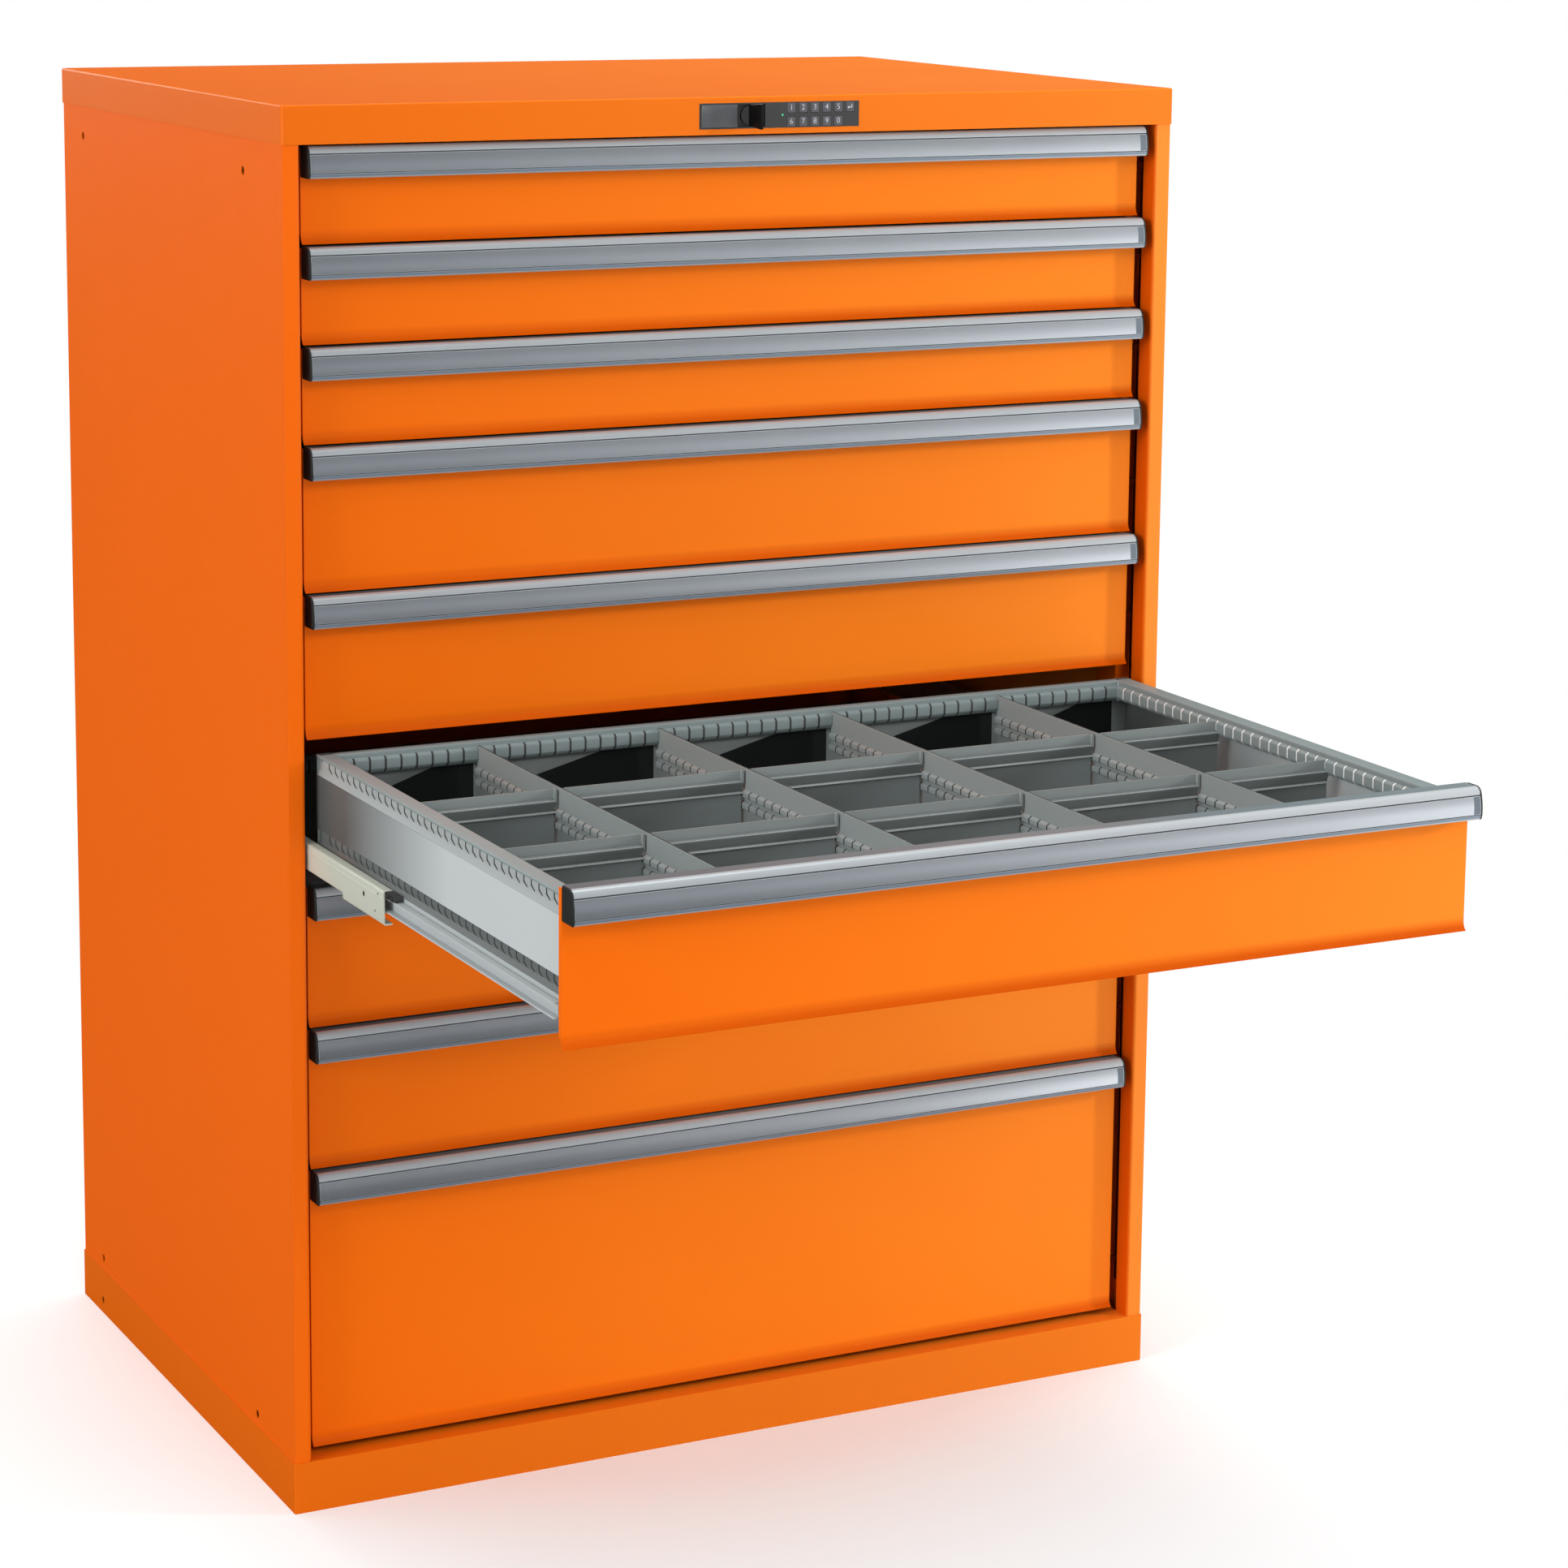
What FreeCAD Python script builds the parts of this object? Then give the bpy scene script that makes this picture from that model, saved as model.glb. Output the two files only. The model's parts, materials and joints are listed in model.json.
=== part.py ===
import FreeCAD, Part
import math
import os
from types import SimpleNamespace

import Sketcher

# A free-standing steel drawer cabinet with nine full-extension drawers on telescopic runners.
# The origin is the middle of the footprint, on the floor. +X is to the right of someone who
# faces the drawers, -Y is towards that person and +Z is up.
# The sixth drawer from the top stands fully open. The other eight are closed.

# Driving sizes in millimetres. Every other place and length is worked out from these.
SIZES = {
    # What the drawers hold, as the clear inside of one drawer, and the heights of their fronts
    "usable_width": 918.0,
    "usable_depth": 612.0,
    "shallow_front": 100.0,
    "medium_front": 150.0,
    "deep_front": 300.0,
    # Carcass sheet: cover, plinth, sides with their folded front posts, back and floor
    "skin_gauge": 1.5,
    "cover_skirt": 39.0,
    "cover_corner_radius": 2.0,
    "lintel_flange": 15.0,
    "plinth_rise": 54.5,
    "plinth_flange": 25.0,
    "sill_gap": 6.5,
    "post_face": 19.5,
    "post_return": 23.5,
    "post_lip": 13.0,
    "post_corner_radius": 4.0,
    "rear_return": 20.0,
    "panel_foot": 30.0,
    "back_gauge": 1.2,
    "floor_flange": 20.0,
    "bearer_width": 60.0,
    "rear_space": 74.1,
    # Bolt holes that join neighbouring cabinets, and the hole low in the plinth
    "bolt_hole_radius": 4.5,
    "bolt_front_inset": 118.0,
    "bolt_rear_inset": 72.4,
    "bolt_top_drop": 72.0,
    "bolt_foot_rise": 12.2,
    "plinth_hole_rise": 15.5,
    # Uprights inside the sides, which carry the fixed rails
    "upright_width": 40.0,
    "upright_gauge": 2.0,
    "front_upright_inset": 58.0,
    "rear_upright_inset": 135.0,
    # Drawer front, handle profile and its end caps
    "front_inset": 25.0,
    "front_side_gap": 9.0,
    "front_gauge": 1.2,
    "front_return": 6.0,
    "lip_height": 9.0,
    "lip_flare": 4.5,
    "handle_drop": 2.0,
    "handle_height": 32.0,
    "handle_depth": 24.0,
    "handle_wall": 2.2,
    "handle_shoulder": 8.0,
    "handle_leg": 14.0,
    "handle_overhang": 3.0,
    "handle_belly": 1.2,
    "cap_thickness": 2.0,
    # Drawer tray: folded sheet with an 18 mm thick rolled rim
    "tray_wall": 18.0,
    "tray_gauge": 1.2,
    "tray_rear_wall": 11.5,
    "tray_rim_drop": 13.0,
    "tray_lift": 25.0,
    "tray_lip": 22.0,
    # Telescopic runner: rail on the tray, middle rail and fixed rail
    "runner_space": 15.0,
    "tray_rail_height": 15.0,
    "tray_rail_reach": 8.5,
    "tray_rail_start": 12.0,
    "rail_gauge": 1.5,
    "rail_post_gap": 2.4,
    "rail_running_gap": 0.5,
    "rail_top": 47.0,
    "rail_height": 28.0,
    "rail_nose_height": 34.0,
    "rail_nose_length": 110.0,
    "rail_flange": 9.6,
    "rail_setback": 115.0,
    "rail_tail_gap": 18.0,
    "fixed_rail_setback": 56.0,
    "fixed_rail_flange": 7.6,
    "fixed_rail_clearance": 0.6,
    "buffer_length": 24.0,
    "rear_left_in": 10.9,
    # Partitions and dividers of the open drawer
    "partition_gauge": 1.5,
    "partition_drop": 4.0,
    "partition_band": 22.0,
    "slot_bead": 9.0,
    "slot_bead_gap": 3.0,
    "slot_bead_reach": 3.2,
    "divider_gauge": 1.0,
    "divider_drop": 6.0,
    "divider_band": 10.0,
    "divider_ledge": 4.0,
    "divider_slope": 13.0,
    "divider_play": 0.3,
    # Lock strip in the cover's front, with its keys and its thumb turn
    "lock_width": 184.6,
    "lock_height": 26.4,
    "lock_offset": 33.2,
    "lock_drop": 19.8,
    "lock_proud": 0.5,
    "lock_thickness": 22.0,
    "plate_margin": 1.7,
    "plate_proud": 0.6,
    "well_width": 32.0,
    "well_height": 23.4,
    "well_floor": 5.0,
    "key_width": 9.4,
    "key_height": 10.3,
    "key_gap": 0.25,
    "key_proud": 0.3,
    "key_thickness": 2.8,
    "key_travel": 0.8,
    "key_margin": 10.45,
    "key_pitch": 13.75,
    "key_row_pitch": 14.4,
    "light_gap": 10.2,
    "light_radius": 0.9,
    "hub_radius": 10.5,
    "hub_thickness": 3.0,
    "shaft_radius": 4.0,
    "shaft_play": 0.06,
    "turn_thickness": 3.0,
    "turn_reach": 26.0,
    "turn_height": 26.0,
    "turn_root_height": 22.0,
    "crank_radius": 7.0,
    "crank_gauge": 3.4,
    "crank_pin_radius": 2.5,
    # Locking bar behind the right front post
    "bar_width": 12.0,
    "bar_gauge": 4.0,
    "bar_setback": 29.5,
    "bar_side_gap": 4.0,
    "bar_foot": 90.0,
    "arm_height": 18.0,
    "tongue_reach": 7.0,
    "tongue_height": 7.0,
    "tongue_rise": 50.0,
    "lug_rise": 58.0,
    "lug_height": 10.0,
    "lug_setback": 13.0,
    "lug_gauge": 3.0,
    "lug_reach": 12.0,
    "guide_height": 20.0,
}

# Drawers from the top down, with the height of each front, and the drawer that stands open
STACK = {
    "drawer_1": "shallow",
    "drawer_2": "shallow",
    "drawer_3": "shallow",
    "drawer_4": "medium",
    "drawer_5": "medium",
    "drawer_6": "medium",
    "drawer_7": "medium",
    "drawer_8": "medium",
    "drawer_9": "deep",
}
OPEN_DRAWER = "drawer_6"
# The width holds this many slots. Partitions run front to back at these slots from the left.
SLOT_COUNT = 54
PARTITION_SLOT_COUNTS = (9, 21, 33, 45)
DIVIDER_ROWS = 2
KEY_ROWS = (
    ("key_1", "key_2", "key_3", "key_4", "key_5", "key_enter"),
    ("key_6", "key_7", "key_8", "key_9", "key_0"),
)
GUIDE_COUNT = 3


class Length:
    """A number of millimetres together with the sheet formula that gives it."""

    def __init__(self, value, formula):
        self.value = float(value)
        self.formula = formula

    def __add__(self, other):
        other = as_length(other)
        return Length(self.value + other.value, "(%s + %s)" % (self.formula, other.formula))

    def __sub__(self, other):
        other = as_length(other)
        return Length(self.value - other.value, "(%s - %s)" % (self.formula, other.formula))

    def __mul__(self, other):
        other = as_length(other)
        return Length(self.value * other.value, "(%s * %s)" % (self.formula, other.formula))

    def __truediv__(self, other):
        other = as_length(other)
        return Length(self.value / other.value, "(%s / %s)" % (self.formula, other.formula))

    def __neg__(self):
        return Length(-self.value, "(-1 * %s)" % self.formula)

    def __radd__(self, other):
        return as_length(other) + self

    def __rsub__(self, other):
        return as_length(other) - self

    def __rmul__(self, other):
        return as_length(other) * self


def as_length(item):
    """Wrap a bare number, and pass a Length through."""
    if isinstance(item, Length):
        return item
    return Length(item, "(%r)" % float(item))


doc = FreeCAD.newDocument("drawer_cabinet")
sheet = doc.addObject("Spreadsheet::Sheet", "sizes")
for row, (alias, number) in enumerate(SIZES.items(), start=1):
    sheet.set("A%d" % row, alias)
    sheet.set("B%d" % row, str(number))
    sheet.setAlias("B%d" % row, alias)
doc.recompute()
size = SimpleNamespace(**{alias: Length(number, "sizes." + alias) for alias, number in SIZES.items()})


# Helpers that draw outlines and make solids from them

class Bow:
    """A corner that is reached from the one before it along an arc of the given radius."""

    def __init__(self, a, b, radius, centre_on_left):
        self.a = as_length(a)
        self.b = as_length(b)
        self.radius = as_length(radius)
        self.centre_on_left = centre_on_left


def straight(a, b):
    """A corner that is reached along a straight line."""
    return (as_length(a), as_length(b))


def round_corners(corners):
    """Turn (a, b, radius) corners between level and upright edges into a line and an arc."""
    result = []
    for index, corner in enumerate(corners):
        if isinstance(corner, Bow) or len(corner) == 2:
            result.append(corner if isinstance(corner, Bow) else straight(*corner))
            continue
        before = corners[index - 1]
        after = corners[(index + 1) % len(corners)]
        a, b, radius = (as_length(item) for item in corner)
        run_in = unit_step(before, corner)
        run_out = unit_step(corner, after)
        result.append(straight(a - run_in[0] * radius, b - run_in[1] * radius))
        left = run_in[0] * run_out[1] - run_in[1] * run_out[0] > 0
        result.append(Bow(a + run_out[0] * radius, b + run_out[1] * radius, radius, left))
    return result


def unit_step(start, end):
    """Direction of a level or upright edge, as whole numbers."""
    first = [as_length(item).value for item in corner_values(start)]
    last = [as_length(item).value for item in corner_values(end)]
    across = last[0] - first[0]
    along = last[1] - first[1]
    if abs(across) > abs(along):
        return (math.copysign(1, across), 0)
    return (0, math.copysign(1, along))


def corner_values(corner):
    """The two coordinates of any kind of corner."""
    if isinstance(corner, Bow):
        return corner.a, corner.b
    return corner[0], corner[1]


def arc_between(start, end, radius, centre_on_left):
    """The arc of a circle from start to end, as FreeCAD geometry."""
    chord = end - start
    half = chord.Length / 2
    rise = math.sqrt(max(radius * radius - half * half, 0.0))
    normal = FreeCAD.Vector(-chord.y, chord.x, 0).normalize()
    side = 1 if centre_on_left else -1
    centre = start + chord * 0.5 + normal * rise * side
    circle = Part.Circle(centre, FreeCAD.Vector(0, 0, 1), radius)
    first, last = (start, end) if centre_on_left else (end, start)
    angle_first = math.atan2(first.y - centre.y, first.x - centre.x)
    angle_last = math.atan2(last.y - centre.y, last.x - centre.x)
    return Part.ArcOfCircle(circle, angle_first, angle_last)


def draw_outline(sketch, corners):
    """Draw a closed outline whose every corner is tied to the sheet."""
    corners = round_corners(corners)
    count = len(corners)
    places = [corner_values(corner) for corner in corners]
    points = [FreeCAD.Vector(a.value, b.value, 0) for a, b in places]
    first_end = []
    geometry = []
    for index in range(count):
        target = corners[(index + 1) % count]
        start = points[index]
        end = points[(index + 1) % count]
        if isinstance(target, Bow):
            geometry.append(arc_between(start, end, target.radius.value, target.centre_on_left))
            first_end.append(1 if target.centre_on_left else 2)
        else:
            geometry.append(Part.LineSegment(start, end))
            first_end.append(1)
    base = sketch.GeometryCount
    sketch.addGeometry(geometry, False)
    constraints = []
    ties = []
    for index in range(count):
        following = (index + 1) % count
        constraints.append(Sketcher.Constraint(
            "Coincident", base + index, 3 - first_end[index], base + following, first_end[following]))
    for index, (a, b) in enumerate(places):
        ties.append((len(constraints), a))
        constraints.append(Sketcher.Constraint("DistanceX", base + index, first_end[index], a.value))
        ties.append((len(constraints), b))
        constraints.append(Sketcher.Constraint("DistanceY", base + index, first_end[index], b.value))
        target = corners[(index + 1) % count]
        if isinstance(target, Bow):
            ties.append((len(constraints), target.radius))
            constraints.append(Sketcher.Constraint("Radius", base + index, target.radius.value))
    tie_constraints(sketch, constraints, ties)


def draw_circle(sketch, a, b, radius):
    """Draw a circle whose centre and radius are tied to the sheet."""
    a, b, radius = as_length(a), as_length(b), as_length(radius)
    index = sketch.GeometryCount
    centre = FreeCAD.Vector(a.value, b.value, 0)
    sketch.addGeometry([Part.Circle(centre, FreeCAD.Vector(0, 0, 1), radius.value)], False)
    constraints = [
        Sketcher.Constraint("DistanceX", index, 3, a.value),
        Sketcher.Constraint("DistanceY", index, 3, b.value),
        Sketcher.Constraint("Radius", index, radius.value),
    ]
    tie_constraints(sketch, constraints, [(0, a), (1, b), (2, radius)])


def tie_constraints(sketch, constraints, ties):
    """Add constraints and bind each one that has a size to its formula."""
    base = sketch.ConstraintCount
    sketch.addConstraint(constraints)
    for offset, length in ties:
        sketch.setExpression("Constraints[%d]" % (base + offset), length.formula)


# The normal of the front-on plane points at the viewer, so what runs to the back is reversed.
PLANE_NORMAL = {"XY_Plane": 1, "XZ_Plane": -1, "YZ_Plane": 1}


def new_body(label):
    """An empty body with a name of its own."""
    body = doc.addObject("PartDesign::Body", label)
    body.Label = label
    return body


def sketch_on(body, plane, level):
    """A sketch parallel to one of the body's own planes, at a level along that plane's axis."""
    sketch = body.newObject("Sketcher::SketchObject", body.Name + "_sketch")
    support = [item for item in body.Origin.OriginFeatures if item.Role == plane]
    sketch.AttachmentSupport = [(support[0], "")]
    sketch.MapMode = "FlatFace"
    level = as_length(level) * PLANE_NORMAL[plane]
    sketch.setExpression("AttachmentOffset.Base.z", level.formula)
    return sketch


def pad(body, plane, level, length, *outlines):
    """Add material from a level along the plane's axis, over a length in its positive sense."""
    sketch = sketch_on(body, plane, level)
    for outline in outlines:
        draw_outline(sketch, outline)
    feature = body.newObject("PartDesign::Pad", body.Name + "_pad")
    feature.Profile = sketch
    feature.setExpression("Length", as_length(length).formula)
    feature.Reversed = PLANE_NORMAL[plane] < 0
    return feature


def pocket(body, plane, level, length, outlines=(), circles=()):
    """Take material away from a level along the plane's axis, in its positive sense."""
    sketch = sketch_on(body, plane, level)
    for outline in outlines:
        draw_outline(sketch, outline)
    for circle in circles:
        draw_circle(sketch, *circle)
    feature = body.newObject("PartDesign::Pocket", body.Name + "_pocket")
    feature.Profile = sketch
    feature.setExpression("Length", as_length(length).formula)
    feature.Reversed = PLANE_NORMAL[plane] > 0
    return feature


def fillet(body, edges_wanted, radius):
    """Round the edges of the body's last feature that a test picks."""
    doc.recompute()
    base = body.Tip
    names = [
        "Edge%d" % number
        for number, edge in enumerate(base.Shape.Edges, start=1)
        if edges_wanted(edge)
    ]
    feature = body.newObject("PartDesign::Fillet", body.Name + "_fillet")
    feature.Base = (base, names)
    feature.setExpression("Radius", as_length(radius).formula)
    return feature


def rectangle(a_low, a_high, b_low, b_high, radius=None):
    """Four corners, rounded when a radius is given."""
    corners = [(a_low, b_low), (a_high, b_low), (a_high, b_high), (a_low, b_high)]
    if radius is None:
        return corners
    return [corner + (radius,) for corner in corners]


def block(label, low, high):
    """A plain box between two corners."""
    piece = doc.addObject("Part::Box", label)
    piece.Label = label
    for name, axis, first, last in zip(("Length", "Width", "Height"), "xyz", low, high):
        first = as_length(first)
        piece.setExpression(name, (as_length(last) - first).formula)
        piece.setExpression("Placement.Base." + axis, first.formula)
    return piece


def rod(label, axis, centre, radius, length):
    """A plain cylinder from a centre point along the world's X or Y axis."""
    piece = doc.addObject("Part::Cylinder", label)
    piece.Label = label
    turn = {"x": (FreeCAD.Vector(0, 1, 0), 90), "y": (FreeCAD.Vector(1, 0, 0), -90)}[axis]
    piece.Placement = FreeCAD.Placement(FreeCAD.Vector(), FreeCAD.Rotation(*turn))
    for name, item in zip("xyz", centre):
        piece.setExpression("Placement.Base." + name, as_length(item).formula)
    piece.setExpression("Radius", as_length(radius).formula)
    piece.setExpression("Height", as_length(length).formula)
    return piece


def joined(label, pieces):
    """One solid fused from several."""
    piece = doc.addObject("Part::MultiFuse", label)
    piece.Label = label
    piece.Shapes = pieces
    piece.Refine = True
    return piece


def collected(label, pieces, offset=(0, 0, 0)):
    """Separate solids kept together, moved as one by an offset."""
    piece = doc.addObject("Part::Compound", label)
    piece.Label = label
    piece.Links = pieces
    for name, item in zip("xyz", offset):
        piece.setExpression("Placement.Base." + name, as_length(item).formula)
    return piece


nodes = {}


def node(name, pieces, offset=(0, 0, 0)):
    """Name a sub-part that gets a file of its own."""
    nodes[name] = collected(name, pieces, offset)
    return nodes[name]


# Places that several pieces share

front_height = {
    "shallow": size.shallow_front,
    "medium": size.medium_front,
    "deep": size.deep_front,
}
tray_half = size.usable_width / 2 + size.tray_wall
opening_half = tray_half + size.runner_space
case_half = opening_half + size.post_face
panel_half = case_half - size.skin_gauge
panel_inside = panel_half - size.skin_gauge

tray_front = size.front_gauge
tray_inside_front = tray_front + size.tray_gauge
tray_inside_rear = tray_inside_front + size.usable_depth
tray_rear = tray_inside_rear + size.tray_rear_wall
case_depth = size.front_inset + tray_rear + size.rear_space
case_front = -case_depth / 2
case_rear = case_depth / 2
face_plane = case_front + size.front_inset
back_inside = case_rear - 2 * size.skin_gauge - size.back_gauge

stack_height = as_length(0)
for kind in STACK.values():
    stack_height = stack_height + front_height[kind]
stack_floor = size.plinth_rise + size.sill_gap
stack_top = stack_floor + stack_height
case_height = stack_top + size.cover_skirt
cover_inside = case_height - size.skin_gauge

cell_floor = {}
level = stack_top
for name, kind in STACK.items():
    level = level - front_height[kind]
    cell_floor[name] = level

drawer_travel = size.front_inset + tray_rear - size.rear_left_in
lock_axis = case_height - size.lock_drop


# Carcass

def side_panel(name, hand):
    """Folded side: outer wall, front post with its return and lip, and rear return."""
    gauge = size.skin_gauge
    post_front = case_front + gauge
    post_back = post_front + size.post_return
    rear_face = case_rear - gauge
    outer_radius = size.post_corner_radius
    inner_radius = outer_radius - gauge
    lip_end = opening_half + size.post_lip
    body = new_body(name + "_fold")
    pad(body, "XY_Plane", size.panel_foot, cover_inside - size.panel_foot, [
        (hand * opening_half, post_front, outer_radius),
        (hand * panel_half, post_front),
        (hand * panel_half, rear_face),
        (hand * (panel_half - size.rear_return), rear_face),
        (hand * (panel_half - size.rear_return), rear_face - gauge),
        (hand * panel_inside, rear_face - gauge),
        (hand * panel_inside, post_front + gauge),
        (hand * (opening_half + gauge), post_front + gauge, inner_radius),
        (hand * (opening_half + gauge), post_back - gauge),
        (hand * lip_end, post_back - gauge),
        (hand * lip_end, post_back),
        (hand * opening_half, post_back),
    ])
    wall_inside = panel_inside if hand > 0 else -panel_half
    pocket(body, "YZ_Plane", wall_inside, gauge, circles=[
        (along, height, size.bolt_hole_radius)
        for along in (case_front + size.bolt_front_inset, case_rear - size.bolt_rear_inset)
        for height in (case_height - size.bolt_top_drop, size.plinth_rise + size.bolt_foot_rise)
    ])
    node(name, [body])


def top_cover():
    """Box lid with rounded outer edges, a lintel flange and the cut-out for the lock."""
    gauge = size.skin_gauge
    body = new_body("top_cover_fold")
    pad(body, "XY_Plane", stack_top, size.cover_skirt,
        rectangle(-case_half, case_half, case_front, case_rear, size.cover_corner_radius))
    top = case_height.value

    def on_top(edge):
        return all(abs(vertex.Z - top) < 0.01 for vertex in edge.Vertexes)

    fillet(body, on_top, size.cover_corner_radius)
    pocket(body, "XY_Plane", stack_top, size.cover_skirt - gauge, outlines=[
        rectangle(-panel_half, panel_half, case_front + gauge, case_rear - gauge)])
    pad(body, "XY_Plane", stack_top, gauge, rectangle(
        -opening_half, opening_half, case_front + gauge / 2, case_front + gauge + size.lintel_flange))
    lock_half = size.lock_width / 2
    pocket(body, "XZ_Plane", case_front, gauge, outlines=[rectangle(
        size.lock_offset - lock_half, size.lock_offset + lock_half,
        lock_axis - size.lock_height / 2, lock_axis + size.lock_height / 2)])
    node("top_cover", [body])


def plinth():
    """Four welded skirts with floor flanges, and a bearer under the middle of the floor pan."""
    gauge = size.skin_gauge
    radius = gauge * 0.8
    skirts = []
    for hand, word in ((-1, "left"), (1, "right")):
        body = new_body("plinth_%s_skirt" % word)
        pad(body, "XZ_Plane", case_front + gauge, case_depth - 2 * gauge, [
            (hand * case_half, as_length(0)),
            (hand * case_half, size.plinth_rise),
            (hand * panel_half, size.plinth_rise),
            (hand * panel_half, gauge),
            (hand * (panel_half - size.plinth_flange), gauge),
            (hand * (panel_half - size.plinth_flange), as_length(0)),
        ])
        wall_inside = panel_half if hand > 0 else -case_half
        pocket(body, "YZ_Plane", wall_inside, gauge, circles=[
            (case_rear - size.bolt_rear_inset, size.plinth_hole_rise, size.bolt_hole_radius)])
        skirts.append(body)
    for sense, word in ((-1, "front"), (1, "rear")):
        face = case_front if sense < 0 else case_rear
        inside = face - sense * gauge
        wall = new_body("plinth_%s_skirt" % word)
        pad(wall, "XY_Plane", 0, size.plinth_rise, [
            (-case_half, face, radius),
            (case_half, face, radius),
            (case_half, inside),
            (-case_half, inside),
        ])
        flange_half = panel_half - size.plinth_flange
        pad(wall, "XY_Plane", 0, gauge, rectangle(
            -flange_half, flange_half, face - sense * gauge / 2, inside - sense * size.plinth_flange))
        skirts.append(wall)
    bearer_front = case_front + gauge + size.plinth_flange
    bearer_rear = case_rear - gauge - size.plinth_flange
    half = size.bearer_width / 2
    under_pan = size.plinth_rise - gauge
    bearer = new_body("plinth_bearer")
    pad(bearer, "XZ_Plane", bearer_front, bearer_rear - bearer_front, [
        (-half, as_length(0)),
        (half, as_length(0)),
        (half, under_pan),
        (half - gauge, under_pan),
        (half - gauge, gauge),
        (gauge - half, gauge),
        (gauge - half, under_pan),
        (-half, under_pan),
    ])
    node("base_plinth", skirts + [bearer])


def floor_pan():
    """Floor sheet with side flanges turned down. Its front edge is the sill under the lowest drawer."""
    gauge = size.skin_gauge
    low = size.plinth_rise - size.floor_flange
    body = new_body("floor_pan_fold")
    pad(body, "XZ_Plane", case_front + gauge, back_inside + size.back_gauge - case_front - gauge, [
        (-opening_half, low),
        (gauge - opening_half, low),
        (gauge - opening_half, size.plinth_rise - gauge),
        (opening_half - gauge, size.plinth_rise - gauge),
        (opening_half - gauge, low),
        (opening_half, low),
        (opening_half, size.plinth_rise),
        (-opening_half, size.plinth_rise),
    ])
    node("floor_pan", [body])


def back_panel():
    """Flat back sheet that lies against the rear returns of the sides."""
    node("back_panel", [block(
        "back_sheet",
        (-panel_inside, back_inside, size.plinth_rise),
        (panel_inside, back_inside + size.back_gauge, cover_inside))])


rail_web_outside = opening_half - size.rail_post_gap
fixed_web_inside = rail_web_outside + size.rail_running_gap
fixed_web_outside = fixed_web_inside + size.rail_gauge


def uprights():
    """Four channels inside the sides that carry the rails, and the guides of the locking bar."""
    pieces = []
    gauge = size.upright_gauge
    spans = (
        ("front", case_front + size.front_upright_inset),
        ("rear", case_rear - size.rear_upright_inset),
    )
    for hand, side in ((-1, "left"), (1, "right")):
        for word, start in spans:
            end = start + size.upright_width
            body = new_body("upright_%s_%s" % (side, word))
            pad(body, "XY_Plane", size.plinth_rise, cover_inside - size.plinth_rise, [
                (hand * fixed_web_outside, start),
                (hand * panel_inside, start),
                (hand * panel_inside, start + gauge),
                (hand * (fixed_web_outside + gauge), start + gauge),
                (hand * (fixed_web_outside + gauge), end - gauge),
                (hand * panel_inside, end - gauge),
                (hand * panel_inside, end),
                (hand * fixed_web_outside, end),
            ])
            pieces.append(body)
    behind = bar_rear + size.shaft_play * 5
    hook = size.rail_gauge
    bar_outside = bar_inside + size.bar_width
    for index in range(GUIDE_COUNT):
        height = size.bar_foot + (stack_top - size.bar_foot) * ((index + 0.5) / GUIDE_COUNT)
        body = new_body("bar_guide_%d" % (index + 1))
        pad(body, "XY_Plane", height + size.tongue_rise, size.guide_height, [
            (panel_inside, bar_front),
            (panel_inside, behind + hook),
            (bar_inside, behind + hook),
            (bar_inside, behind),
            ((bar_outside + panel_inside) / 2, behind),
            ((bar_outside + panel_inside) / 2, bar_front),
        ])
        pieces.append(body)
    node("uprights", pieces)


# Locking bar: a flat bar with one tongue for each drawer, lifted by the crank of the thumb turn

bar_outside_face = panel_inside - size.bar_side_gap + size.rail_gauge
bar_inside = bar_outside_face - size.bar_width
bar_front = case_front + size.bar_setback
bar_rear = bar_front + size.bar_gauge


def locking_bar():
    """Upright bar, arm to the lock with its slot for the crank pin, and a tongue at each drawer."""
    half_arm = size.arm_height / 2
    pin_room = size.crank_pin_radius * 0.8
    slot_left = -(size.crank_pin_radius + pin_room)
    slot_right = size.crank_radius + size.crank_pin_radius + pin_room
    slot_half = size.crank_pin_radius + size.crank_radius * 0.3
    bar = block(
        "bar_upright", (bar_inside, bar_front, size.bar_foot), (bar_outside_face, bar_rear, lock_axis - half_arm))
    arm = new_body("bar_arm")
    pad(arm, "XZ_Plane", bar_front, size.bar_gauge, rectangle(
        slot_left - size.bar_width / 2, bar_outside_face, lock_axis - half_arm, lock_axis + half_arm))
    pocket(arm, "XZ_Plane", bar_front, size.bar_gauge, outlines=[rectangle(
        slot_left, slot_right, lock_axis - slot_half, lock_axis + slot_half)])
    tongues = []
    for name in STACK:
        low = cell_floor[name] + size.tongue_rise
        tongues.append(block(
            "bar_tongue_" + name,
            (bar_inside - size.tongue_reach, bar_front, low),
            (bar_inside, bar_rear, low + size.tongue_height)))
    node("locking_bar", [bar, arm] + tongues)


# Lock strip, its thumb turn and its keys

lock_left = size.lock_offset - size.lock_width / 2
lock_right = size.lock_offset + size.lock_width / 2
light_across = lock_right - size.key_margin - size.key_pitch * (len(KEY_ROWS[0]) - 1) - size.light_gap


def key_place(row, column):
    """Centre of a key across and up."""
    across = lock_right - size.key_margin - size.key_pitch * (len(KEY_ROWS[0]) - 1 - column)
    up = lock_axis + size.key_row_pitch * (0.5 - row)
    return across, up


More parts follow.
